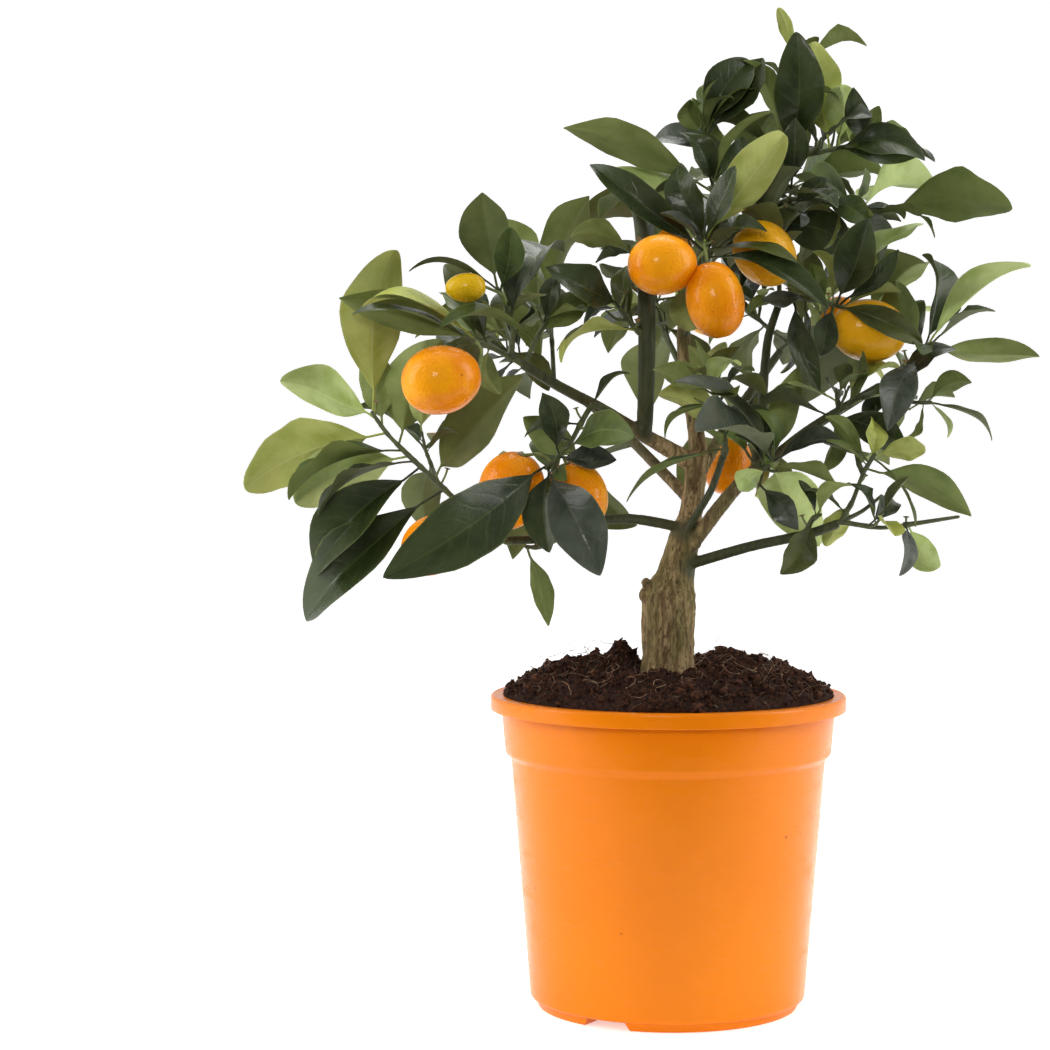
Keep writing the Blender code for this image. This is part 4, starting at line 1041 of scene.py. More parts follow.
def grow_wood(limbs):
    """The trunk and boughs as one body: fused, eased at the forks, then furrowed along each limb."""
    fine = {}
    for name in LIMBS:
        path, radii = limbs[name]
        fine[name] = smooth(path, WOOD_STEPS // LIMB_STEPS), between(radii, WOOD_STEPS // LIMB_STEPS)
    solids = [tube(path, radii, WOOD_SIDES) for path, radii in fine.values()]
    wood = add_object("wood", joined([*solids, *(knob_solid(knob) for knob in KNOBS)]))
    remesh = wood.modifiers.new("fuse", "REMESH")
    remesh.mode = "VOXEL"
    remesh.voxel_size = WOOD_GRAIN
    ease = wood.modifiers.new("ease", "SMOOTH")
    ease.factor = 0.5
    ease.iterations = WOOD_EASE
    mesh = applied(wood)
    furrow_wood(mesh, fine)
    return wood


def eased(mesh, values, rounds):
    """The values of a mesh's points, each drawn towards its neighbours' mean."""
    ends = np.empty(2 * len(mesh.edges), dtype=int)
    mesh.edges.foreach_get("vertices", ends)
    one, other = ends[::2], ends[1::2]
    values, count = np.array(values), np.bincount(ends, minlength=len(mesh.vertices))
    for _ in range(rounds):
        total = np.bincount(one, values[other], len(values)) + np.bincount(other, values[one], len(values))
        values = total / count
    return values


def furrow_wood(mesh, fine):
    """Moves the bark in and out along furrows, and notes how woody and how deep it is at each point."""
    marks = []
    for name, (path, radii) in fine.items():
        run = 0
        for i, point in enumerate(path):
            run += (point - path[i - 1]).length if i else 0
            marks.append((point, name, i / (len(path) - 1), run, radii[i]))
    tree = KDTree(len(marks))
    for i, mark in enumerate(marks):
        tree.insert(mark[0], i)
    tree.balance()
    age, depth = [], []
    normals = [vertex.normal.copy() for vertex in mesh.vertices]
    for vertex, normal in zip(mesh.vertices, normals):
        near = tree.find_n(vertex.co, 3)
        nearest = min(near, key=lambda found: found[2] - marks[found[1]][4])[1]
        point, name, share, run, radius = marks[nearest]
        foot, tip = AGES[name]
        old = foot + (tip - foot) * share
        away = vertex.co - point
        round_ = Vector((away.x, away.y, 0)).normalized() if away.length > 0 else UP
        girth = radius / MM * 0.55
        spot = Vector((round_.x * girth, round_.y * girth, run / MM * 0.09 + radius * 900))
        ridges = abs(noise.fractal(spot, 0.7, 2.1, 3)) * 2.4
        ridge = min(1, ridges) ** 0.7
        lumps = noise.noise(vertex.co / MM * 0.16) * 0.5 * old
        flare = max(0, 1 - (vertex.co.z / MM - SOIL_AT_TRUNK) / 9) if name == "trunk" else 0
        strength = BOUGH_FURROW + (FURROW_DEPTH - BOUGH_FURROW) * old**2
        settle = min(1, radius / MM / 6) if name != "trunk" else 1
        vertex.co += normal * MM * settle * ((ridge - 0.75) * strength + lumps + flare * 0.8)
        age.append(old)
        depth.append(1 - ridge)
    age = eased(mesh, age, AGE_EASE)
    # the furrow depth is what the bark's finish turns into painted shade
    for label, values in (("age", age), ("furrow", depth)):
        layer = mesh.attributes.new(label, "FLOAT", "POINT")
        layer.data.foreach_set("value", values)


# The pot and the soil

POT_FINE_SIDES = 144
CORNER_STEPS = 4
SOIL_FINE_SIDES = 168
SOIL_FINE_RINGS = 52
SOIL_WAVES = 2.1
CRUMB_KINDS, FIBRE_KINDS = 5, 6
CRUMB_DENSITY, CLOD_DENSITY, FIBRE_DENSITY = 76_000, 3_000, 12_000  # for each square metre
CRUMB_SIZES, CLOD_SIZES, FIBRE_SIZES = (0.9, 3.4), (4.5, 8.5), (6, 17)
FIBRE_THICKNESS = 0.011  # of its length


def rounded(profile, reach):
    """An outline with its corners rounded. Its first and last points stay."""
    points = [Vector((r, z)) for r, z in profile]
    result = [points[0]]
    for before, corner, after in zip(points, points[1:], points[2:]):
        near = min(reach, (before - corner).length * 0.45, (after - corner).length * 0.45)
        start = corner + (before - corner).normalized() * near
        end = corner + (after - corner).normalized() * near
        for k in range(CORNER_STEPS + 1):
            t = k / CORNER_STEPS
            result.append(start * (1 - t) ** 2 + corner * 2 * t * (1 - t) + end * t**2)
    result.append(points[-1])
    return [tuple(point) for point in result]


def mould_pot():
    pot = add_object("pot_shell", turned(rounded(pot_profile(), 1.1), POT_FINE_SIDES))
    apply_boolean(pot, "DIFFERENCE", [notch_solid(turn) for turn in NOTCH_TURNS])
    return pot


def soil_body():
    """The root ball with a fine top, as one closed body, and its top alone, to strew things on."""
    rng = random.Random("soil")
    walls = [(radius - GAP / MM * 1.2, height) for radius, height in pot_profile()[-7:-1]]
    walls[0] = (walls[0][0], SOIL_EDGE_HEIGHT)
    walls[-1] = (walls[-1][0], FLOOR_TOP + GAP / MM)
    edge = walls[0][0]
    rings = [edge * (1 - k / SOIL_FINE_RINGS) for k in range(1, SOIL_FINE_RINGS)]
    profile = [(0, FLOOR_TOP + GAP / MM), *reversed(walls), *((radius, SOIL_AT_TRUNK) for radius in rings)]
    profile.append((0, SOIL_AT_TRUNK))
    corners, faces = turned(profile, SOIL_FINE_SIDES)
    for corner in corners:
        right, back = corner.x / MM, corner.y / MM
        if corner.z / MM > SOIL_EDGE_HEIGHT + 0.1:
            rough = noise.fractal(Vector((right, back, 0)) * 0.09, 0.9, 2.2, 5) * 2 * SOIL_WAVES
            corner.z = (soil_height(right, back, rng) + rough) * MM
    body = add_object("soil_body", (corners, faces))
    top = [face for face in faces if min(corners[i].z for i in face) > (SOIL_EDGE_HEIGHT - 0.1) * MM]
    return body, add_object("soil_top", (corners, top))


def crumb_shape(name, rng):
    """A lump one unit across, knocked out of round."""
    work = bmesh.new()
    bmesh.ops.create_uvsphere(work, u_segments=6, v_segments=5, radius=0.5)
    seed = Vector((rng.uniform(0, 50), 0, 0))
    for vert in work.verts:
        vert.co *= 1 + 1.1 * noise.noise(vert.co * 3.4 + seed)
        vert.co.z *= 0.72
    return shape_object(name, work)


def fibre_shape(name, rng):
    """A bent fibre one unit long, lying flat."""
    turn, place_, path = rng.uniform(-1, 1), Vector((-0.5, 0, 0)), []
    bend, lift = rng.uniform(-3.2, 3.2), rng.uniform(0.05, 0.2)
    for k in range(9):
        path.append(place_ + UP * lift * math.sin(math.pi * k / 8) ** 2)
        turn += bend / 8 + rng.uniform(-0.6, 0.6)
        place_ = place_ + Vector((math.cos(turn), math.sin(turn), 0)) / 8
    work = bmesh.new()
    corners, faces = tube(path, [FIBRE_THICKNESS * (1 - 0.09 * k) for k in range(9)], 4)
    verts = [work.verts.new(corner) for corner in corners]
    for face in faces:
        work.faces.new([verts[i] for i in face])
    return shape_object(name, work)


def shape_object(name, work):
    mesh = bpy.data.meshes.new(name)
    work.to_mesh(mesh)
    work.free()
    return bpy.data.objects.new(name, mesh)


def strewn_tree():
    """Strews pieces of a collection over a surface: how many, how large and how far up are its inputs."""
    tree = bpy.data.node_groups.new("strewn pieces", "GeometryNodeTree")
    tree.interface.new_socket("Surface", in_out="INPUT", socket_type="NodeSocketGeometry")
    tree.interface.new_socket("Pieces", in_out="INPUT", socket_type="NodeSocketCollection")
    for label in ("Density", "Least size", "Most size", "Tilt", "Sink"):
        tree.interface.new_socket(label, in_out="INPUT", socket_type="NodeSocketFloat")
    tree.interface.new_socket("Seed", in_out="INPUT", socket_type="NodeSocketInt")
    tree.interface.new_socket("Finish", in_out="INPUT", socket_type="NodeSocketMaterial")
    tree.interface.new_socket("Pieces", in_out="OUTPUT", socket_type="NodeSocketGeometry")
    source = tree.nodes.new("NodeGroupInput").outputs
    wanted = {"Mesh": source["Surface"], "Seed": source["Seed"]}
    spread = node(tree, "GeometryNodeDistributePointsOnFaces", wanted)
    tree.links.new(source["Density"], spread.inputs["Density"])
    size = node(tree, "FunctionNodeRandomValue", data_type="FLOAT")
    floats = [socket for socket in size.inputs if socket.type == "VALUE" and socket.enabled]
    tree.links.new(source["Least size"], floats[0])
    tree.links.new(source["Most size"], floats[1])
    tree.links.new(source["Seed"], size.inputs["Seed"])
    tilt = node(tree, "ShaderNodeCombineXYZ", {"X": source["Tilt"], "Y": source["Tilt"]})
    tilt.inputs["Z"].default_value = math.pi
    flip = node(tree, "ShaderNodeVectorMath", {0: tilt.outputs[0]}, operation="SCALE")
    flip.inputs["Scale"].default_value = -1
    turn = node(tree, "FunctionNodeRandomValue", {"Seed": source["Seed"]}, data_type="FLOAT_VECTOR")
    vectors = [socket for socket in turn.inputs if socket.type == "VECTOR" and socket.enabled]
    tree.links.new(flip.outputs[0], vectors[0])
    tree.links.new(tilt.outputs[0], vectors[1])
    pieces = node(tree, "GeometryNodeCollectionInfo", {"Collection": source["Pieces"]})
    pieces.inputs["Separate Children"].default_value = True
    pieces.inputs["Reset Children"].default_value = True
    laid = node(tree, "GeometryNodeInstanceOnPoints", {"Points": spread.outputs["Points"]})
    tree.links.new(pieces.outputs[0], laid.inputs["Instance"])
    laid.inputs["Pick Instance"].default_value = True
    tree.links.new(spread.outputs["Rotation"], laid.inputs["Rotation"])
    tree.links.new([s for s in size.outputs if s.type == "VALUE" and s.enabled][0], laid.inputs["Scale"])
    spun = node(tree, "GeometryNodeRotateInstances", {"Instances": laid.outputs[0]})
    tree.links.new([s for s in turn.outputs if s.type == "VECTOR" and s.enabled][0], spun.inputs["Rotation"])
    sunk = node(tree, "GeometryNodeTranslateInstances", {"Instances": spun.outputs[0]})
    down = node(tree, "ShaderNodeCombineXYZ", {"Z": source["Sink"]})
    tree.links.new(down.outputs[0], sunk.inputs["Translation"])
    sunk.inputs["Local Space"].default_value = False
    real = node(tree, "GeometryNodeRealizeInstances", {"Geometry": sunk.outputs[0]})
    wanted = {"Geometry": real.outputs[0], "Material": source["Finish"]}
    dressed = node(tree, "GeometryNodeSetMaterial", wanted)
    end = tree.nodes.new("NodeGroupOutput")
    tree.links.new(dressed.outputs[0], end.inputs[0])
    return tree


def strew(name, tree, top, shapes, finish, density, sizes, tilt, sink, seed):
    """One mesh of many pieces strewn on the soil's top."""
    shelf = bpy.data.collections.new("strewn shapes")
    for shape in shapes:
        shelf.objects.link(shape)
    mesh = top.data.copy()
    obj = bpy.data.objects.new(name, mesh)
    bpy.context.scene.collection.objects.link(obj)
    modifier = obj.modifiers.new("strew", "NODES")
    modifier.node_group = tree
    values = {
        "Pieces": shelf, "Density": float(density), "Least size": sizes[0] * MM, "Most size": sizes[1] * MM,
        "Tilt": tilt, "Sink": sink * MM, "Seed": seed, "Finish": finish,
    }
    for item in tree.interface.items_tree:
        if item.item_type == "SOCKET" and item.in_out == "INPUT" and item.name in values:
            modifier[item.identifier] = values[item.name]
    applied(obj)
    for shape in shapes:
        bpy.data.objects.remove(shape)
    bpy.data.collections.remove(shelf)
    return obj


def applied(obj):
    """Puts an object's modifiers into its mesh and returns it."""
    mesh = bpy.data.meshes.new_from_object(obj.evaluated_get(bpy.context.evaluated_depsgraph_get()))
    obj.modifiers.clear()
    obj.data = mesh
    return mesh


# Finishes

def node(tree, kind, feeds=None, **settings):
    """A node with its settings made, and its inputs fed by plain values or by other nodes' outputs."""
    made = tree.nodes.new(kind)
    for key, value in settings.items():
        setattr(made, key, value)
    for key, value in (feeds or {}).items():
        if isinstance(value, bpy.types.NodeSocket):
            tree.links.new(value, made.inputs[key])
        else:
            made.inputs[key].default_value = value
    return made


def sums(tree, operation, *values):
    """A Math node's result."""
    return node(tree, "ShaderNodeMath", dict(enumerate(values)), operation=operation).outputs[0]


def shades(tree, amount, low, high):
    """A mix of two colours."""
    mix = node(tree, "ShaderNodeMix", data_type="RGBA")
    for socket, value in ((mix.inputs[0], amount), (mix.inputs[6], low), (mix.inputs[7], high)):
        if isinstance(value, bpy.types.NodeSocket):
            tree.links.new(value, socket)
        else:
            socket.default_value = value if socket.type == "VALUE" else (*value, 1)
    return mix.outputs[2]


def ranged(tree, value, low, high, new_low=0.0, new_high=1.0):
    """A value carried smoothly from one range to another."""
    feeds = {"Value": value, "From Min": low, "From Max": high, "To Min": new_low, "To Max": new_high}
    return node(tree, "ShaderNodeMapRange", feeds, interpolation_type="SMOOTHSTEP").outputs[0]


def new_group(name, inputs, outputs):
    """An empty shader group with its sockets, and its ends."""
    tree = bpy.data.node_groups.new(name, "ShaderNodeTree")
    for label, value in inputs.items():
        tree.interface.new_socket(label, in_out="INPUT", socket_type="NodeSocketFloat").default_value = value
    for label in outputs:
        tree.interface.new_socket(label, in_out="OUTPUT", socket_type="NodeSocketFloat")
    return tree, tree.nodes.new("NodeGroupInput").outputs, tree.nodes.new("NodeGroupOutput").inputs


def close_group(tree, ends, results):
    for label, socket in results.items():
        tree.links.new(socket, ends[label])
    return tree


def mottle_group():
    """Soft blotches all over: a mask from 0 to 1."""
    tree, given, ends = new_group("mottle", {"Scale": 100, "Stretch": 1, "Low": 0.4, "High": 0.6}, ("Mask",))
    place_ = node(tree, "ShaderNodeTexCoord").outputs["Object"]
    stretch = node(tree, "ShaderNodeCombineXYZ", {"X": 1.0, "Y": 1.0, "Z": given["Stretch"]})
    drawn = node(tree, "ShaderNodeVectorMath", {0: place_, 1: stretch.outputs[0]}, operation="MULTIPLY")
    wanted = {"Vector": drawn.outputs[0], "Scale": given["Scale"], "Detail": 4.0}
    cloud = node(tree, "ShaderNodeTexNoise", wanted)
    return close_group(tree, ends, {"Mask": ranged(tree, cloud.outputs[0], given["Low"], given["High"])})


def pits_group():
    """Small round pits: their height, and a mask of where they lie."""
    tree, given, ends = new_group("pits", {"Scale": 900, "Width": 0.5, "Unevenness": 0.5}, ("Height", "Mask"))
    place_ = node(tree, "ShaderNodeTexCoord").outputs["Object"]
    feeds = {"Vector": place_, "Scale": given["Scale"], "Randomness": 0.85}
    cells = node(tree, "ShaderNodeTexVoronoi", feeds, feature="SMOOTH_F1")
    pit = ranged(tree, cells.outputs["Distance"], 0.0, given["Width"])
    broad = sums(tree, "MULTIPLY", given["Scale"], 0.2)
    rough = node(tree, "ShaderNodeTexNoise", {"Vector": place_, "Scale": broad})
    uneven = sums(tree, "MULTIPLY", rough.outputs[0], given["Unevenness"])
    height, mask = sums(tree, "ADD", pit, uneven), sums(tree, "SUBTRACT", 1.0, pit)
    return close_group(tree, ends, {"Height": height, "Mask": mask})


def specks_group():
    """A few small dark specks: a mask of them."""
    tree, given, ends = new_group("specks", {"Scale": 60, "Size": 0.05, "Share": 0.3}, ("Mask",))
    place_ = node(tree, "ShaderNodeTexCoord").outputs["Object"]
    wobble = node(tree, "ShaderNodeTexNoise", {"Vector": place_, "Scale": 700.0})
    cells = node(tree, "ShaderNodeTexVoronoi", {"Vector": place_, "Scale": given["Scale"]}, feature="F1")
    reach = sums(tree, "MULTIPLY", given["Size"], sums(tree, "ADD", 0.4, wobble.outputs[0]))
    spot = sums(tree, "LESS_THAN", cells.outputs["Distance"], reach)
    chance = node(tree, "ShaderNodeSeparateColor", {"Color": cells.outputs["Color"]})
    rare = sums(tree, "LESS_THAN", chance.outputs[0], given["Share"])
    return close_group(tree, ends, {"Mask": sums(tree, "MULTIPLY", spot, rare)})


def leaf_group():
    """What follows a leaf's own map: its ribs, margin, underside and relief."""
    inputs = {"Pairs of ribs": 9, "Slant": 1.5, "Net": 26}
    tree, given, ends = new_group("leaf pattern", inputs, ("Rib", "Margin", "Under", "Height", "Cloud"))
    chart = node(tree, "ShaderNodeUVMap", uv_map="OFBake").outputs[0]
    parts = node(tree, "ShaderNodeSeparateXYZ", {0: chart}).outputs
    under = sums(tree, "GREATER_THAN", parts[0], 0.5)
    half = sums(tree, "FRACT", sums(tree, "MULTIPLY", parts[0], 2.0))
    off_middle = sums(tree, "ABSOLUTE", sums(tree, "SUBTRACT", half, UPPER_MAP * 2 + MAP_WIDTH))
    out = sums(tree, "MULTIPLY", off_middle, 1 / MAP_WIDTH)
    wander = node(tree, "ShaderNodeTexNoise", {"Vector": chart, "Scale": 5.0, "Detail": 2.0}).outputs[0]
    bent = sums(tree, "ADD", parts[1], sums(tree, "MULTIPLY", wander, 0.09))
    run = sums(tree, "SUBTRACT", sums(tree, "MULTIPLY", bent, given["Pairs of ribs"]),
               sums(tree, "MULTIPLY", sums(tree, "POWER", out, 1.3), given["Slant"]))
    off = sums(tree, "ABSOLUTE", sums(tree, "SUBTRACT", sums(tree, "FRACT", run), 0.5))
    side_rib = sums(tree, "MULTIPLY", ranged(tree, off, 0.16, 0.03), ranged(tree, out, 0.96, 0.55))
    midrib = ranged(tree, out, 0.06, 0.015)
    scale = node(tree, "ShaderNodeVectorMath", {0: chart, 1: (2.2, 3.0, 1.0)}, operation="MULTIPLY")
    feeds = {"Vector": scale.outputs[0], "Scale": given["Net"]}
    net = node(tree, "ShaderNodeTexVoronoi", feeds, feature="DISTANCE_TO_EDGE").outputs["Distance"]
    fine = ranged(tree, net, 0.08, 0.0)
    rib = sums(tree, "MAXIMUM", midrib, sums(tree, "MULTIPLY", side_rib, 0.26))
    rib = sums(tree, "MAXIMUM", rib, sums(tree, "MULTIPLY", fine, 0.1))
    way = sums(tree, "SUBTRACT", sums(tree, "MULTIPLY", under, 2.0), 1.0)
    ribs = sums(tree, "ADD", sums(tree, "MULTIPLY", side_rib, 0.8), sums(tree, "MULTIPLY", fine, 0.35))
    relief = sums(tree, "MULTIPLY", way, ribs)
    cloud = node(tree, "ShaderNodeTexNoise", {"Vector": chart, "Scale": 4.0, "Detail": 3.0}).outputs[0]
    cloud = sums(tree, "ADD", sums(tree, "MULTIPLY", cloud, 0.75), sums(tree, "MULTIPLY", parts[1], 0.25))
    results = {"Rib": rib, "Margin": ranged(tree, out, 0.93, 1.0), "Under": under, "Height": relief}
    return close_group(tree, ends, results | {"Cloud": ranged(tree, cloud, 0.3, 0.68)})


def placed(tree, group, **values):
    """A shader group set into a material with its own values."""
    made = tree.nodes.new("ShaderNodeGroup")
    made.node_tree = group
    for label, value in values.items():
        made.inputs[label.replace("_", " ")].default_value = value
    return made.outputs


def new_finish(name, **constants):
    """A material and its tree and shader, with what is the same all over set on the shader's own sockets."""
    material = bpy.data.materials.new(name)
    material.use_nodes = True
    shader = material.node_tree.nodes["Principled BSDF"]
    for label, value in constants.items():
        shader.inputs[label.replace("_", " ")].default_value = value
    return material, material.node_tree, shader


def bumped(tree, shader, height, strength, distance):
    bump = node(tree, "ShaderNodeBump", {"Height": height, "Strength": strength, "Distance": distance * MM})
    tree.links.new(bump.outputs[0], shader.inputs["Normal"])


Tint = namedtuple("Tint", "upper upper_light under under_light rib shown margin gloss")


def leaf_finish(name, pattern, tint):
    """A leathery leaf: glossy above, dull and paler below, with ribs and a pale margin."""
    material, tree, shader = new_finish(name, Specular_IOR_Level=0.26)
    shape = placed(tree, pattern)
    upper = shades(tree, shape["Cloud"], tint.upper, tint.upper_light)
    under = shades(tree, shape["Cloud"], tint.under, tint.under_light)
    blade = shades(tree, shape["Under"], upper, under)
    ribbed = shades(tree, sums(tree, "MULTIPLY", shape["Rib"], tint.shown), blade, tint.rib)
    edged = shades(tree, sums(tree, "MULTIPLY", shape["Margin"], 0.6), ribbed, tint.margin)
    tree.links.new(edged, shader.inputs["Base Color"])
    rough = sums(tree, "ADD", tint.gloss, sums(tree, "MULTIPLY", shape["Under"], 0.62 - tint.gloss))
    rough = sums(tree, "ADD", rough, sums(tree, "MULTIPLY", shape["Cloud"], 0.08))
    tree.links.new(rough, shader.inputs["Roughness"])
    bumped(tree, shader, shape["Height"], 0.35, 0.25)
    return material


# The colours a leaf may have: its upper side, underside, ribs and margin, and how rough its upper side is.
TINTS = {
    "dark": Tint((0.014, 0.023, 0.006), (0.042, 0.058, 0.018), (0.07, 0.09, 0.022), (0.12, 0.145, 0.04),
                 (0.08, 0.11, 0.035), 0.4, (0.12, 0.15, 0.045), 0.13),
    # Painted sheen: this tint's grey upper side stands for the white studio's reflection on glossy dark
    # leaves. Its underside is the leaf's own colour.
    "dark_blue": Tint((0.018, 0.026, 0.013), (0.07, 0.082, 0.06), (0.06, 0.078, 0.03), (0.11, 0.13, 0.055),
                      (0.1, 0.12, 0.07), 0.4, (0.13, 0.16, 0.08), 0.12),
    "olive": Tint((0.026, 0.034, 0.004), (0.07, 0.082, 0.015), (0.075, 0.085, 0.018), (0.12, 0.13, 0.035),
                  (0.11, 0.13, 0.03), 0.45, (0.16, 0.18, 0.05), 0.28),
    "green": Tint((0.036, 0.06, 0.008), (0.1, 0.14, 0.026), (0.13, 0.17, 0.036), (0.23, 0.27, 0.085),
                  (0.19, 0.25, 0.08), 0.5, (0.22, 0.27, 0.09), 0.28),
    "deep_green": Tint((0.02, 0.037, 0.005), (0.062, 0.092, 0.017), (0.09, 0.124, 0.024), (0.16, 0.2, 0.055),
                       (0.13, 0.18, 0.05), 0.5, (0.17, 0.22, 0.06), 0.26),
    "young": Tint((0.19, 0.27, 0.045), (0.4, 0.51, 0.17), (0.26, 0.35, 0.07), (0.48, 0.58, 0.23),
                  (0.5, 0.56, 0.24), 0.55, (0.5, 0.55, 0.25), 0.34),
    "yellowish": Tint((0.22, 0.25, 0.025), (0.4, 0.44, 0.085), (0.28, 0.32, 0.05), (0.46, 0.5, 0.15),
                      (0.52, 0.53, 0.2), 0.55, (0.52, 0.52, 0.22), 0.36),
}
# Dark leaves whose upper side faces up get a share of the tint with painted sheen; dark leaves standing on
# edge get none.
TINT_SHARES = {
    "dark": (("dark", 4), ("dark_blue", 5), ("olive", 2)), "dark_upright": (("dark", 4), ("olive", 1)),
    "green": (("green", 5), ("deep_green", 4)), "young": (("young", 3), ("yellowish", 2)),
}
UPRIGHT = 0.45  # a leaf whose upper side faces up less than this stands on edge


def peel_finish(name, pits, mottle, specks, ripe, pale, gloss=0.26):
    """Citrus peel: oil pits in a waxy skin, with a little paler colour and a few brown specks."""
    material, tree, shader = new_finish(name, Specular_IOR_Level=0.1, Coat_Roughness=0.06)
    skin = placed(tree, pits, Scale=760.0, Width=0.6, Unevenness=0.7)
    blotch = placed(tree, mottle, Scale=38.0, Low=0.42, High=0.68)
    scars = placed(tree, specks, Scale=110.0, Size=0.075, Share=0.16)
    colour = shades(tree, blotch["Mask"], ripe, pale)
    marked = shades(tree, sums(tree, "MULTIPLY", scars["Mask"], 0.7), colour, (0.2, 0.07, 0.012))
    tree.links.new(marked, shader.inputs["Base Color"])
    tree.links.new(ranged(tree, blotch["Mask"], 0, 1, gloss, gloss + 0.12), shader.inputs["Roughness"])
    shader.inputs["Coat Weight"].default_value = 0.2
    bumped(tree, shader, skin["Height"], 0.75, 0.3)
    return material


def bark_finish(name, mottle):
    """Bark that goes from furrowed grey-brown on old wood to smooth dark green on young boughs."""
    material, tree, shader = new_finish(name, Specular_IOR_Level=0.3)
    age = node(tree, "ShaderNodeAttribute", attribute_name="age").outputs["Fac"]
    furrow = node(tree, "ShaderNodeAttribute", attribute_name="furrow").outputs["Fac"]
    streak = placed(tree, mottle, Scale=420.0, Stretch=0.16, Low=0.36, High=0.66)["Mask"]
    lichen = placed(tree, mottle, Scale=70.0, Stretch=0.35, Low=0.45, High=0.62)["Mask"]
    fine = placed(tree, mottle, Scale=1700.0, Stretch=0.12, Low=0.35, High=0.65)["Mask"]
    old = shades(tree, streak, (0.52, 0.37, 0.18), (0.2, 0.125, 0.055))
    old = shades(tree, sums(tree, "MULTIPLY", lichen, 0.5), old, (0.16, 0.16, 0.04))
    # painted shade: the bark is darkened towards near black deep in its furrows
    old = shades(tree, ranged(tree, furrow, 0.45, 1.0, 0.0, 0.85), old, (0.05, 0.03, 0.016))
    green = shades(tree, streak, (0.03, 0.045, 0.016), (0.06, 0.075, 0.025))
    wood = shades(tree, ranged(tree, age, 0.25, 0.8), green, old)
    wood = shades(tree, sums(tree, "MULTIPLY", fine, 0.45), wood, (0.055, 0.038, 0.02))
    tree.links.new(wood, shader.inputs["Base Color"])
    tree.links.new(ranged(tree, age, 0.2, 0.8, 0.5, 0.86), shader.inputs["Roughness"])
    relief = sums(tree, "ADD", sums(tree, "MULTIPLY", streak, -0.8), sums(tree, "MULTIPLY", fine, 0.35))
    bumped(tree, shader, sums(tree, "MULTIPLY", relief, ranged(tree, age, 0.0, 0.9, 0.25, 1.0)), 0.8, 0.5)
    return material


def twig_finish(name, mottle, low, high):
    material, tree, shader = new_finish(name)
    streak = placed(tree, mottle, Scale=260.0, Low=0.35, High=0.65)["Mask"]
    tree.links.new(shades(tree, streak, low, high), shader.inputs["Base Color"])
    tree.links.new(ranged(tree, streak, 0, 1, 0.5, 0.62), shader.inputs["Roughness"])
    bumped(tree, shader, streak, 0.35, 0.2)
    return material


def plastic_finish(name, mottle, specks, pits):
    """Moulded orange plastic: an even satin gloss, faint scuffs, and a few specks of soil."""
    material, tree, shader = new_finish(name, Specular_IOR_Level=0.2)
    cloud = placed(tree, mottle, Scale=9.0, Low=0.3, High=0.7)["Mask"]
    scuff = placed(tree, mottle, Scale=40.0, Stretch=2.5, Low=0.45, High=0.75)["Mask"]
    dirt = placed(tree, specks, Scale=70.0, Size=0.075, Share=0.12)["Mask"]
    dust = placed(tree, specks, Scale=260.0, Size=0.05, Share=0.07)["Mask"]
    skin = placed(tree, pits, Scale=1400.0, Width=0.7, Unevenness=0.9)
    orange = shades(tree, cloud, (0.78, 0.195, 0.0005), (0.83, 0.22, 0.001))
    marks = sums(tree, "MAXIMUM", dirt, sums(tree, "MULTIPLY", dust, 0.5))
    marked = shades(tree, sums(tree, "MULTIPLY", marks, 0.85), orange, (0.12, 0.03, 0.008))
    tree.links.new(marked, shader.inputs["Base Color"])
    tree.links.new(ranged(tree, scuff, 0, 1, 0.24, 0.36), shader.inputs["Roughness"])
    bumped(tree, shader, skin["Height"], 0.12, 0.08)
    return material


def peat_finish(name, mottle, pits, dark, light):
    material, tree, shader = new_finish(name, Specular_IOR_Level=0.15)
    grain = placed(tree, mottle, Scale=520.0, Low=0.35, High=0.7)["Mask"]
    lump = placed(tree, pits, Scale=420.0, Width=0.8, Unevenness=1.4)
    tree.links.new(shades(tree, grain, dark, light), shader.inputs["Base Color"])
    tree.links.new(ranged(tree, grain, 0, 1, 0.82, 0.98), shader.inputs["Roughness"])
    bumped(tree, shader, lump["Height"], 0.9, 0.8)
    return material


# The stage

CAMERA_PLACE = (-76.7, -1500, 337)
CAMERA_PITCH = 3
CAMERA_LENS = 96.3
SENSOR = 36
FLOOR_REACH = 4.0
FLOOR_FRONT = 0.35
WALL_BACK = 3.4
WALL_HEIGHT = 3.2
WALL_CURVE = 0.8  # the radius of the floor's turn into the wall
BACKDROP_GLOW = 0.3
SEEN_GLOW = 0.5  # what the camera sees of it, so that the paper is as white as the photograph's
WORLD_FRONT, WORLD_BACK = 0.15, 0.95  # the studio's own light from the camera's side and from behind
Light = namedtuple("Light", "place aim size watts tint")
LIGHTS = (
    Light((-1.3, -0.2, 0.8), (0, 0, 0.3), (0.6, 1.4), 13, (1, 1, 1)),
    Light((1.3, -0.2, 0.8), (0, 0, 0.3), (0.6, 1.4), 12, (1, 1, 1)),
    Light((-0.3, -1.75, 0.95), (0, 0, 0.3), (0.45, 0.45), 10, (1, 0.98, 0.95)),
    Light((0.1, 0.6, 1.5), (0, 0, 0.35), (1.0, 0.8), 12, (1, 1, 1)),
)


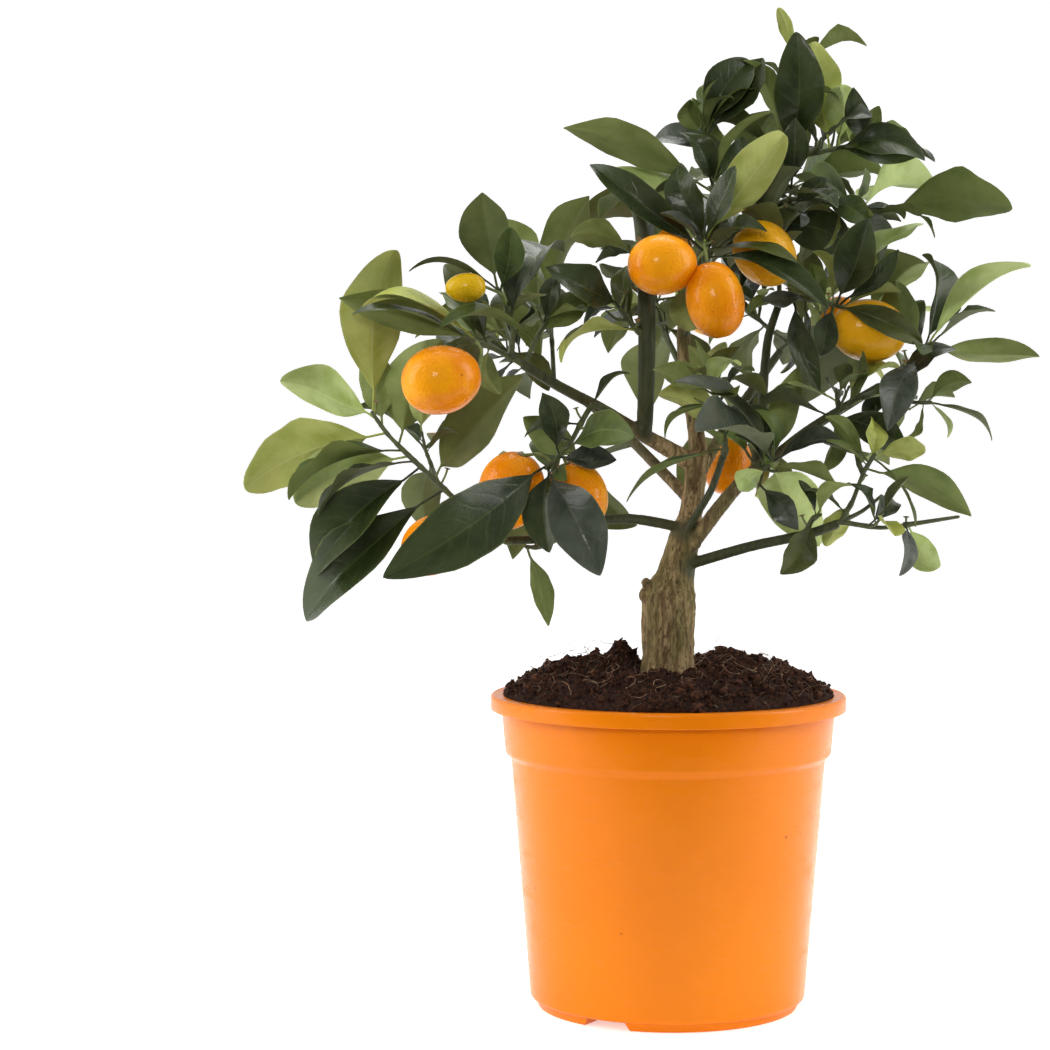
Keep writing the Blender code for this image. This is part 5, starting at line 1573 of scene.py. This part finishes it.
def set_stage():
    """A pale floor that curves up into a wall, soft lights and the photograph's camera."""
    material, tree, shader = new_finish("paper_backdrop", Roughness=0.9)
    shader.inputs["Base Color"].default_value = (0.93, 0.93, 0.93, 1)
    shader.inputs["Emission Color"].default_value = (1, 1, 1, 1)
    seen = node(tree, "ShaderNodeLightPath").outputs["Is Camera Ray"]
    tree.links.new(ranged(tree, seen, 0, 1, BACKDROP_GLOW, SEEN_GLOW), shader.inputs["Emission Strength"])
    foot = WALL_BACK - WALL_CURVE
    curve = [(-FLOOR_FRONT, 0), (foot, 0)]
    curve += [(foot + WALL_CURVE * math.sin(turn), WALL_CURVE * (1 - math.cos(turn)))
              for turn in np.linspace(0.1, math.pi / 2, 14)]
    curve.append((WALL_BACK, WALL_HEIGHT))
    corners = [Vector((x, y, z)) for y, z in curve for x in (-FLOOR_REACH, FLOOR_REACH)]
    faces = [(2 * k, 2 * k + 1, 2 * k + 3, 2 * k + 2) for k in range(len(curve) - 1)]
    backdrop = add_object("backdrop", (corners, faces))
    backdrop.data.materials.append(material)
    backdrop.data.shade_smooth()
    world = bpy.data.worlds.new("studio")
    world.use_nodes = True
    tree = world.node_tree
    way = node(tree, "ShaderNodeSeparateXYZ", {0: node(tree, "ShaderNodeTexCoord").outputs["Generated"]})
    strength = ranged(tree, way.outputs["Y"], -0.9, 0.5, WORLD_FRONT, WORLD_BACK)
    seen = node(tree, "ShaderNodeLightPath").outputs["Is Camera Ray"]
    tree.links.new(sums(tree, "MAXIMUM", strength, seen), tree.nodes["Background"].inputs["Strength"])
    tree.nodes["Background"].inputs["Color"].default_value = (1, 1, 1, 1)
    bpy.context.scene.world = world
    for i, light in enumerate(LIGHTS):
        data = bpy.data.lights.new(f"softbox_{i}", "AREA")
        data.shape = "RECTANGLE"
        data.size, data.size_y = light.size
        data.energy = light.watts
        data.color = light.tint
        lamp = bpy.data.objects.new(f"softbox_{i}", data)
        lamp.location = light.place
        lamp.rotation_euler = (Vector(light.aim) - Vector(light.place)).to_track_quat("-Z", "Y").to_euler()
        bpy.context.scene.collection.objects.link(lamp)
    data = bpy.data.cameras.new("camera")
    data.sensor_width = SENSOR
    data.lens = CAMERA_LENS
    camera = bpy.data.objects.new("camera", data)
    camera.location = place(CAMERA_PLACE)
    camera.rotation_euler = Euler((math.radians(90 - CAMERA_PITCH), 0, 0))
    bpy.context.scene.collection.objects.link(camera)
    bpy.context.scene.camera = camera
    bpy.context.scene.view_settings.view_transform = "Standard"


# Putting it together

TURNING_FRUIT = {("foliage_upper_left", 2), ("foliage_middle_right", 0), ("foliage_back_right", 1)}
YELLOW_UNDER = 25 * MM  # a fruit shorter than this is still yellow
# A fruit's two colours, which lie in soft blotches.
PEELS = {
    "ripe": ((0.8, 0.235, 0.001), (0.92, 0.35, 0.002)),
    "turning": ((0.66, 0.32, 0.003), (0.84, 0.41, 0.006)),
    "yellow": ((0.7, 0.42, 0.006), (0.78, 0.5, 0.015)),
}


def ride_and_stand(piece, slot, *nodes):
    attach(piece, "root")
    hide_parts(*nodes)


def finished(obj, material, sharp=60):
    """An object with its one finish, shaded smooth up to an angle."""
    obj.data.materials.clear()
    obj.data.materials.append(material)
    obj.data.shade_smooth()
    if sharp:
        obj.data.set_sharp_from_angle(angle=math.radians(sharp))
    return obj


def mesh_object(name, mesh):
    obj = bpy.data.objects.new(name, mesh)
    bpy.context.scene.collection.objects.link(obj)
    return obj


def mass_solids(growth):
    return frame_solids(growth) + [leaf_solid(leaf) for leaf in growth.leaves]


def make_foliage(growths, limbs, mottle, pits, specks):
    """The leaves by colour, the fruit by ripeness, and the twigs, stalks and calyxes, each kind one piece."""
    pattern = leaf_group()
    wood = [tube(path, radii, LIMB_SIDES) for path, radii in limbs.values()]
    fixed = [tree_of(wood), tree_of([pot_outline()])]
    masses = {name: tree_of(mass_solids(growth)) for name, growth in growths.items()}
    for name, growth in growths.items():
        grow_more(name, growth, [*fixed, *(tree for other, tree in masses.items() if other != name)])
        masses[name] = tree_of(mass_solids(growth))
    by_tint = {tint: [] for tint in TINTS}
    mixing = random.Random("tints")
    twigs, stalks, calyxes = [], [], []
    fruits = {kind: [] for kind in PEELS}
    rng = random.Random("fruit")
    for name, growth in growths.items():
        others = [tree for other, tree in masses.items() if other != name]
        shoots, small, spurs = grow_shoots(name, growth, [*fixed, *others])
        if small:
            fixed.append(tree_of([leaf_solid(leaf) for leaf in small]))
        for leaf, rows in [(leaf, ROWS) for leaf in growth.leaves] + [(leaf, SMALL_ROWS) for leaf in small]:
            # a dark leaf facing up may be dealt the tint with painted sheen; one on edge is not
            upright = leaf.tone == "dark" and leaf.face.z < UPRIGHT
            shares = TINT_SHARES["dark_upright" if upright else leaf.tone]
            by_tint[mixing.choices(*zip(*shares))[0]].append((leaf, rows))
        for path, radii in filter(None, growth.paths):
            twigs.append(twig_tube(path, radii, growth.leaves))
        twigs += [twig_tube(path, radii, small) for path, radii in shoots]
        for spur in spurs:
            stalks.append(tube(spur, [SPUR_RADIUS * MM] * len(spur), 6))
            calyxes.append(calyx(spur[-1], (spur[-1] - spur[-2]).normalized(), 1.5 * MM))
        for i, fruit in enumerate(growth.fruits):
            young = "yellow" if fruit.length < YELLOW_UNDER else "ripe"
            kind = "turning" if (name, i) in TURNING_FRUIT else young
            fruits[kind].append(fruit_body(fruit, rng))
            stalk = smooth(fruit.stalk[:-1] + [fruit.stalk[-1] - fruit.axis * 1.2 * MM], 4)
            stalks.append(tube(stalk, [FINE_STALK_RADIUS * MM] * len(stalk), 8))
            foot = fruit.centre - fruit.axis * (fruit.length / 2 - 0.9 * MM)
            calyxes.append(calyx(foot, fruit.axis, CALYX_RADIUS * MM * min(1, fruit.length / (36 * MM))))
    pieces = []
    for label, tint in TINTS.items():
        leaves = mesh_object(f"leaves_{label}", leaf_mesh(f"leaves_{label}", by_tint[label]))
        pieces.append(finished(leaves, leaf_finish(f"leaf_{label}", pattern, tint), 75))
    for kind, (ripe, pale) in PEELS.items():
        peel = peel_finish(f"peel_{kind}", pits, mottle, specks, ripe, pale)
        pieces.append(finished(add_object(f"fruit_{kind}", joined(fruits[kind])), peel, 0))
    twig = twig_finish("twig_bark", mottle, (0.045, 0.06, 0.018), (0.085, 0.1, 0.03))
    pieces.append(finished(add_object("twigs", joined(twigs)), twig, 0))
    green = twig_finish("stalk_green", mottle, (0.1, 0.14, 0.03), (0.2, 0.24, 0.06))
    pieces.append(finished(add_object("fruit_stalks", joined(stalks)), green, 0))
    brown = twig_finish("calyx_brown", mottle, (0.12, 0.1, 0.03), (0.2, 0.13, 0.05))
    pieces.append(finished(add_object("calyxes", joined(calyxes)), brown, 50))
    return pieces


def make_soil(mottle, pits):
    body, top = soil_body()
    peat = peat_finish("peat", mottle, pits, (0.014, 0.006, 0.004), (0.05, 0.021, 0.012))
    crumb = peat_finish("peat_crumbs", mottle, pits, (0.014, 0.006, 0.0045), (0.1, 0.04, 0.021))
    fibre = twig_finish("root_fibres", mottle, (0.15, 0.08, 0.04), (0.42, 0.27, 0.16))
    rng = random.Random("crumbs")
    tree = strewn_tree()
    kinds = [crumb_shape(f"crumb_{k}", rng) for k in range(CRUMB_KINDS)]
    crumbs = strew("soil_crumbs", tree, top, kinds, crumb, CRUMB_DENSITY, CRUMB_SIZES, math.pi, 0.3, 3)
    kinds = [crumb_shape(f"clod_{k}", rng) for k in range(CRUMB_KINDS)]
    clods = strew("soil_clods", tree, top, kinds, crumb, CLOD_DENSITY, CLOD_SIZES, math.pi, 0.2, 5)
    kinds = [fibre_shape(f"fibre_{k}", rng) for k in range(FIBRE_KINDS)]
    fibres = strew("soil_fibres", tree, top, kinds, fibre, FIBRE_DENSITY, FIBRE_SIZES, 0.1, 0.4, 8)
    bpy.data.objects.remove(top)
    for piece in (crumbs, clods, fibres):
        piece.data.shade_smooth()
    return [finished(body, peat, 0), crumbs, clods, fibres]


def main():
    mottle, pits, specks = mottle_group(), pits_group(), specks_group()
    limbs, growths = grow_tree()
    wood = finished(grow_wood(limbs), bark_finish("bark", mottle), 0)
    ride_and_stand(wood, "bark", *LIMBS)
    for piece in make_foliage(growths, limbs, mottle, pits, specks):
        ride_and_stand(piece, "foliage", *MASSES)
    pot = finished(mould_pot(), plastic_finish("orange_plastic", mottle, specks, pits), 35)
    ride_and_stand(pot, "pot", "pot")
    for piece in make_soil(mottle, pits):
        ride_and_stand(piece, "soil", "soil")
    set_stage()
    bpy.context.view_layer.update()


main()
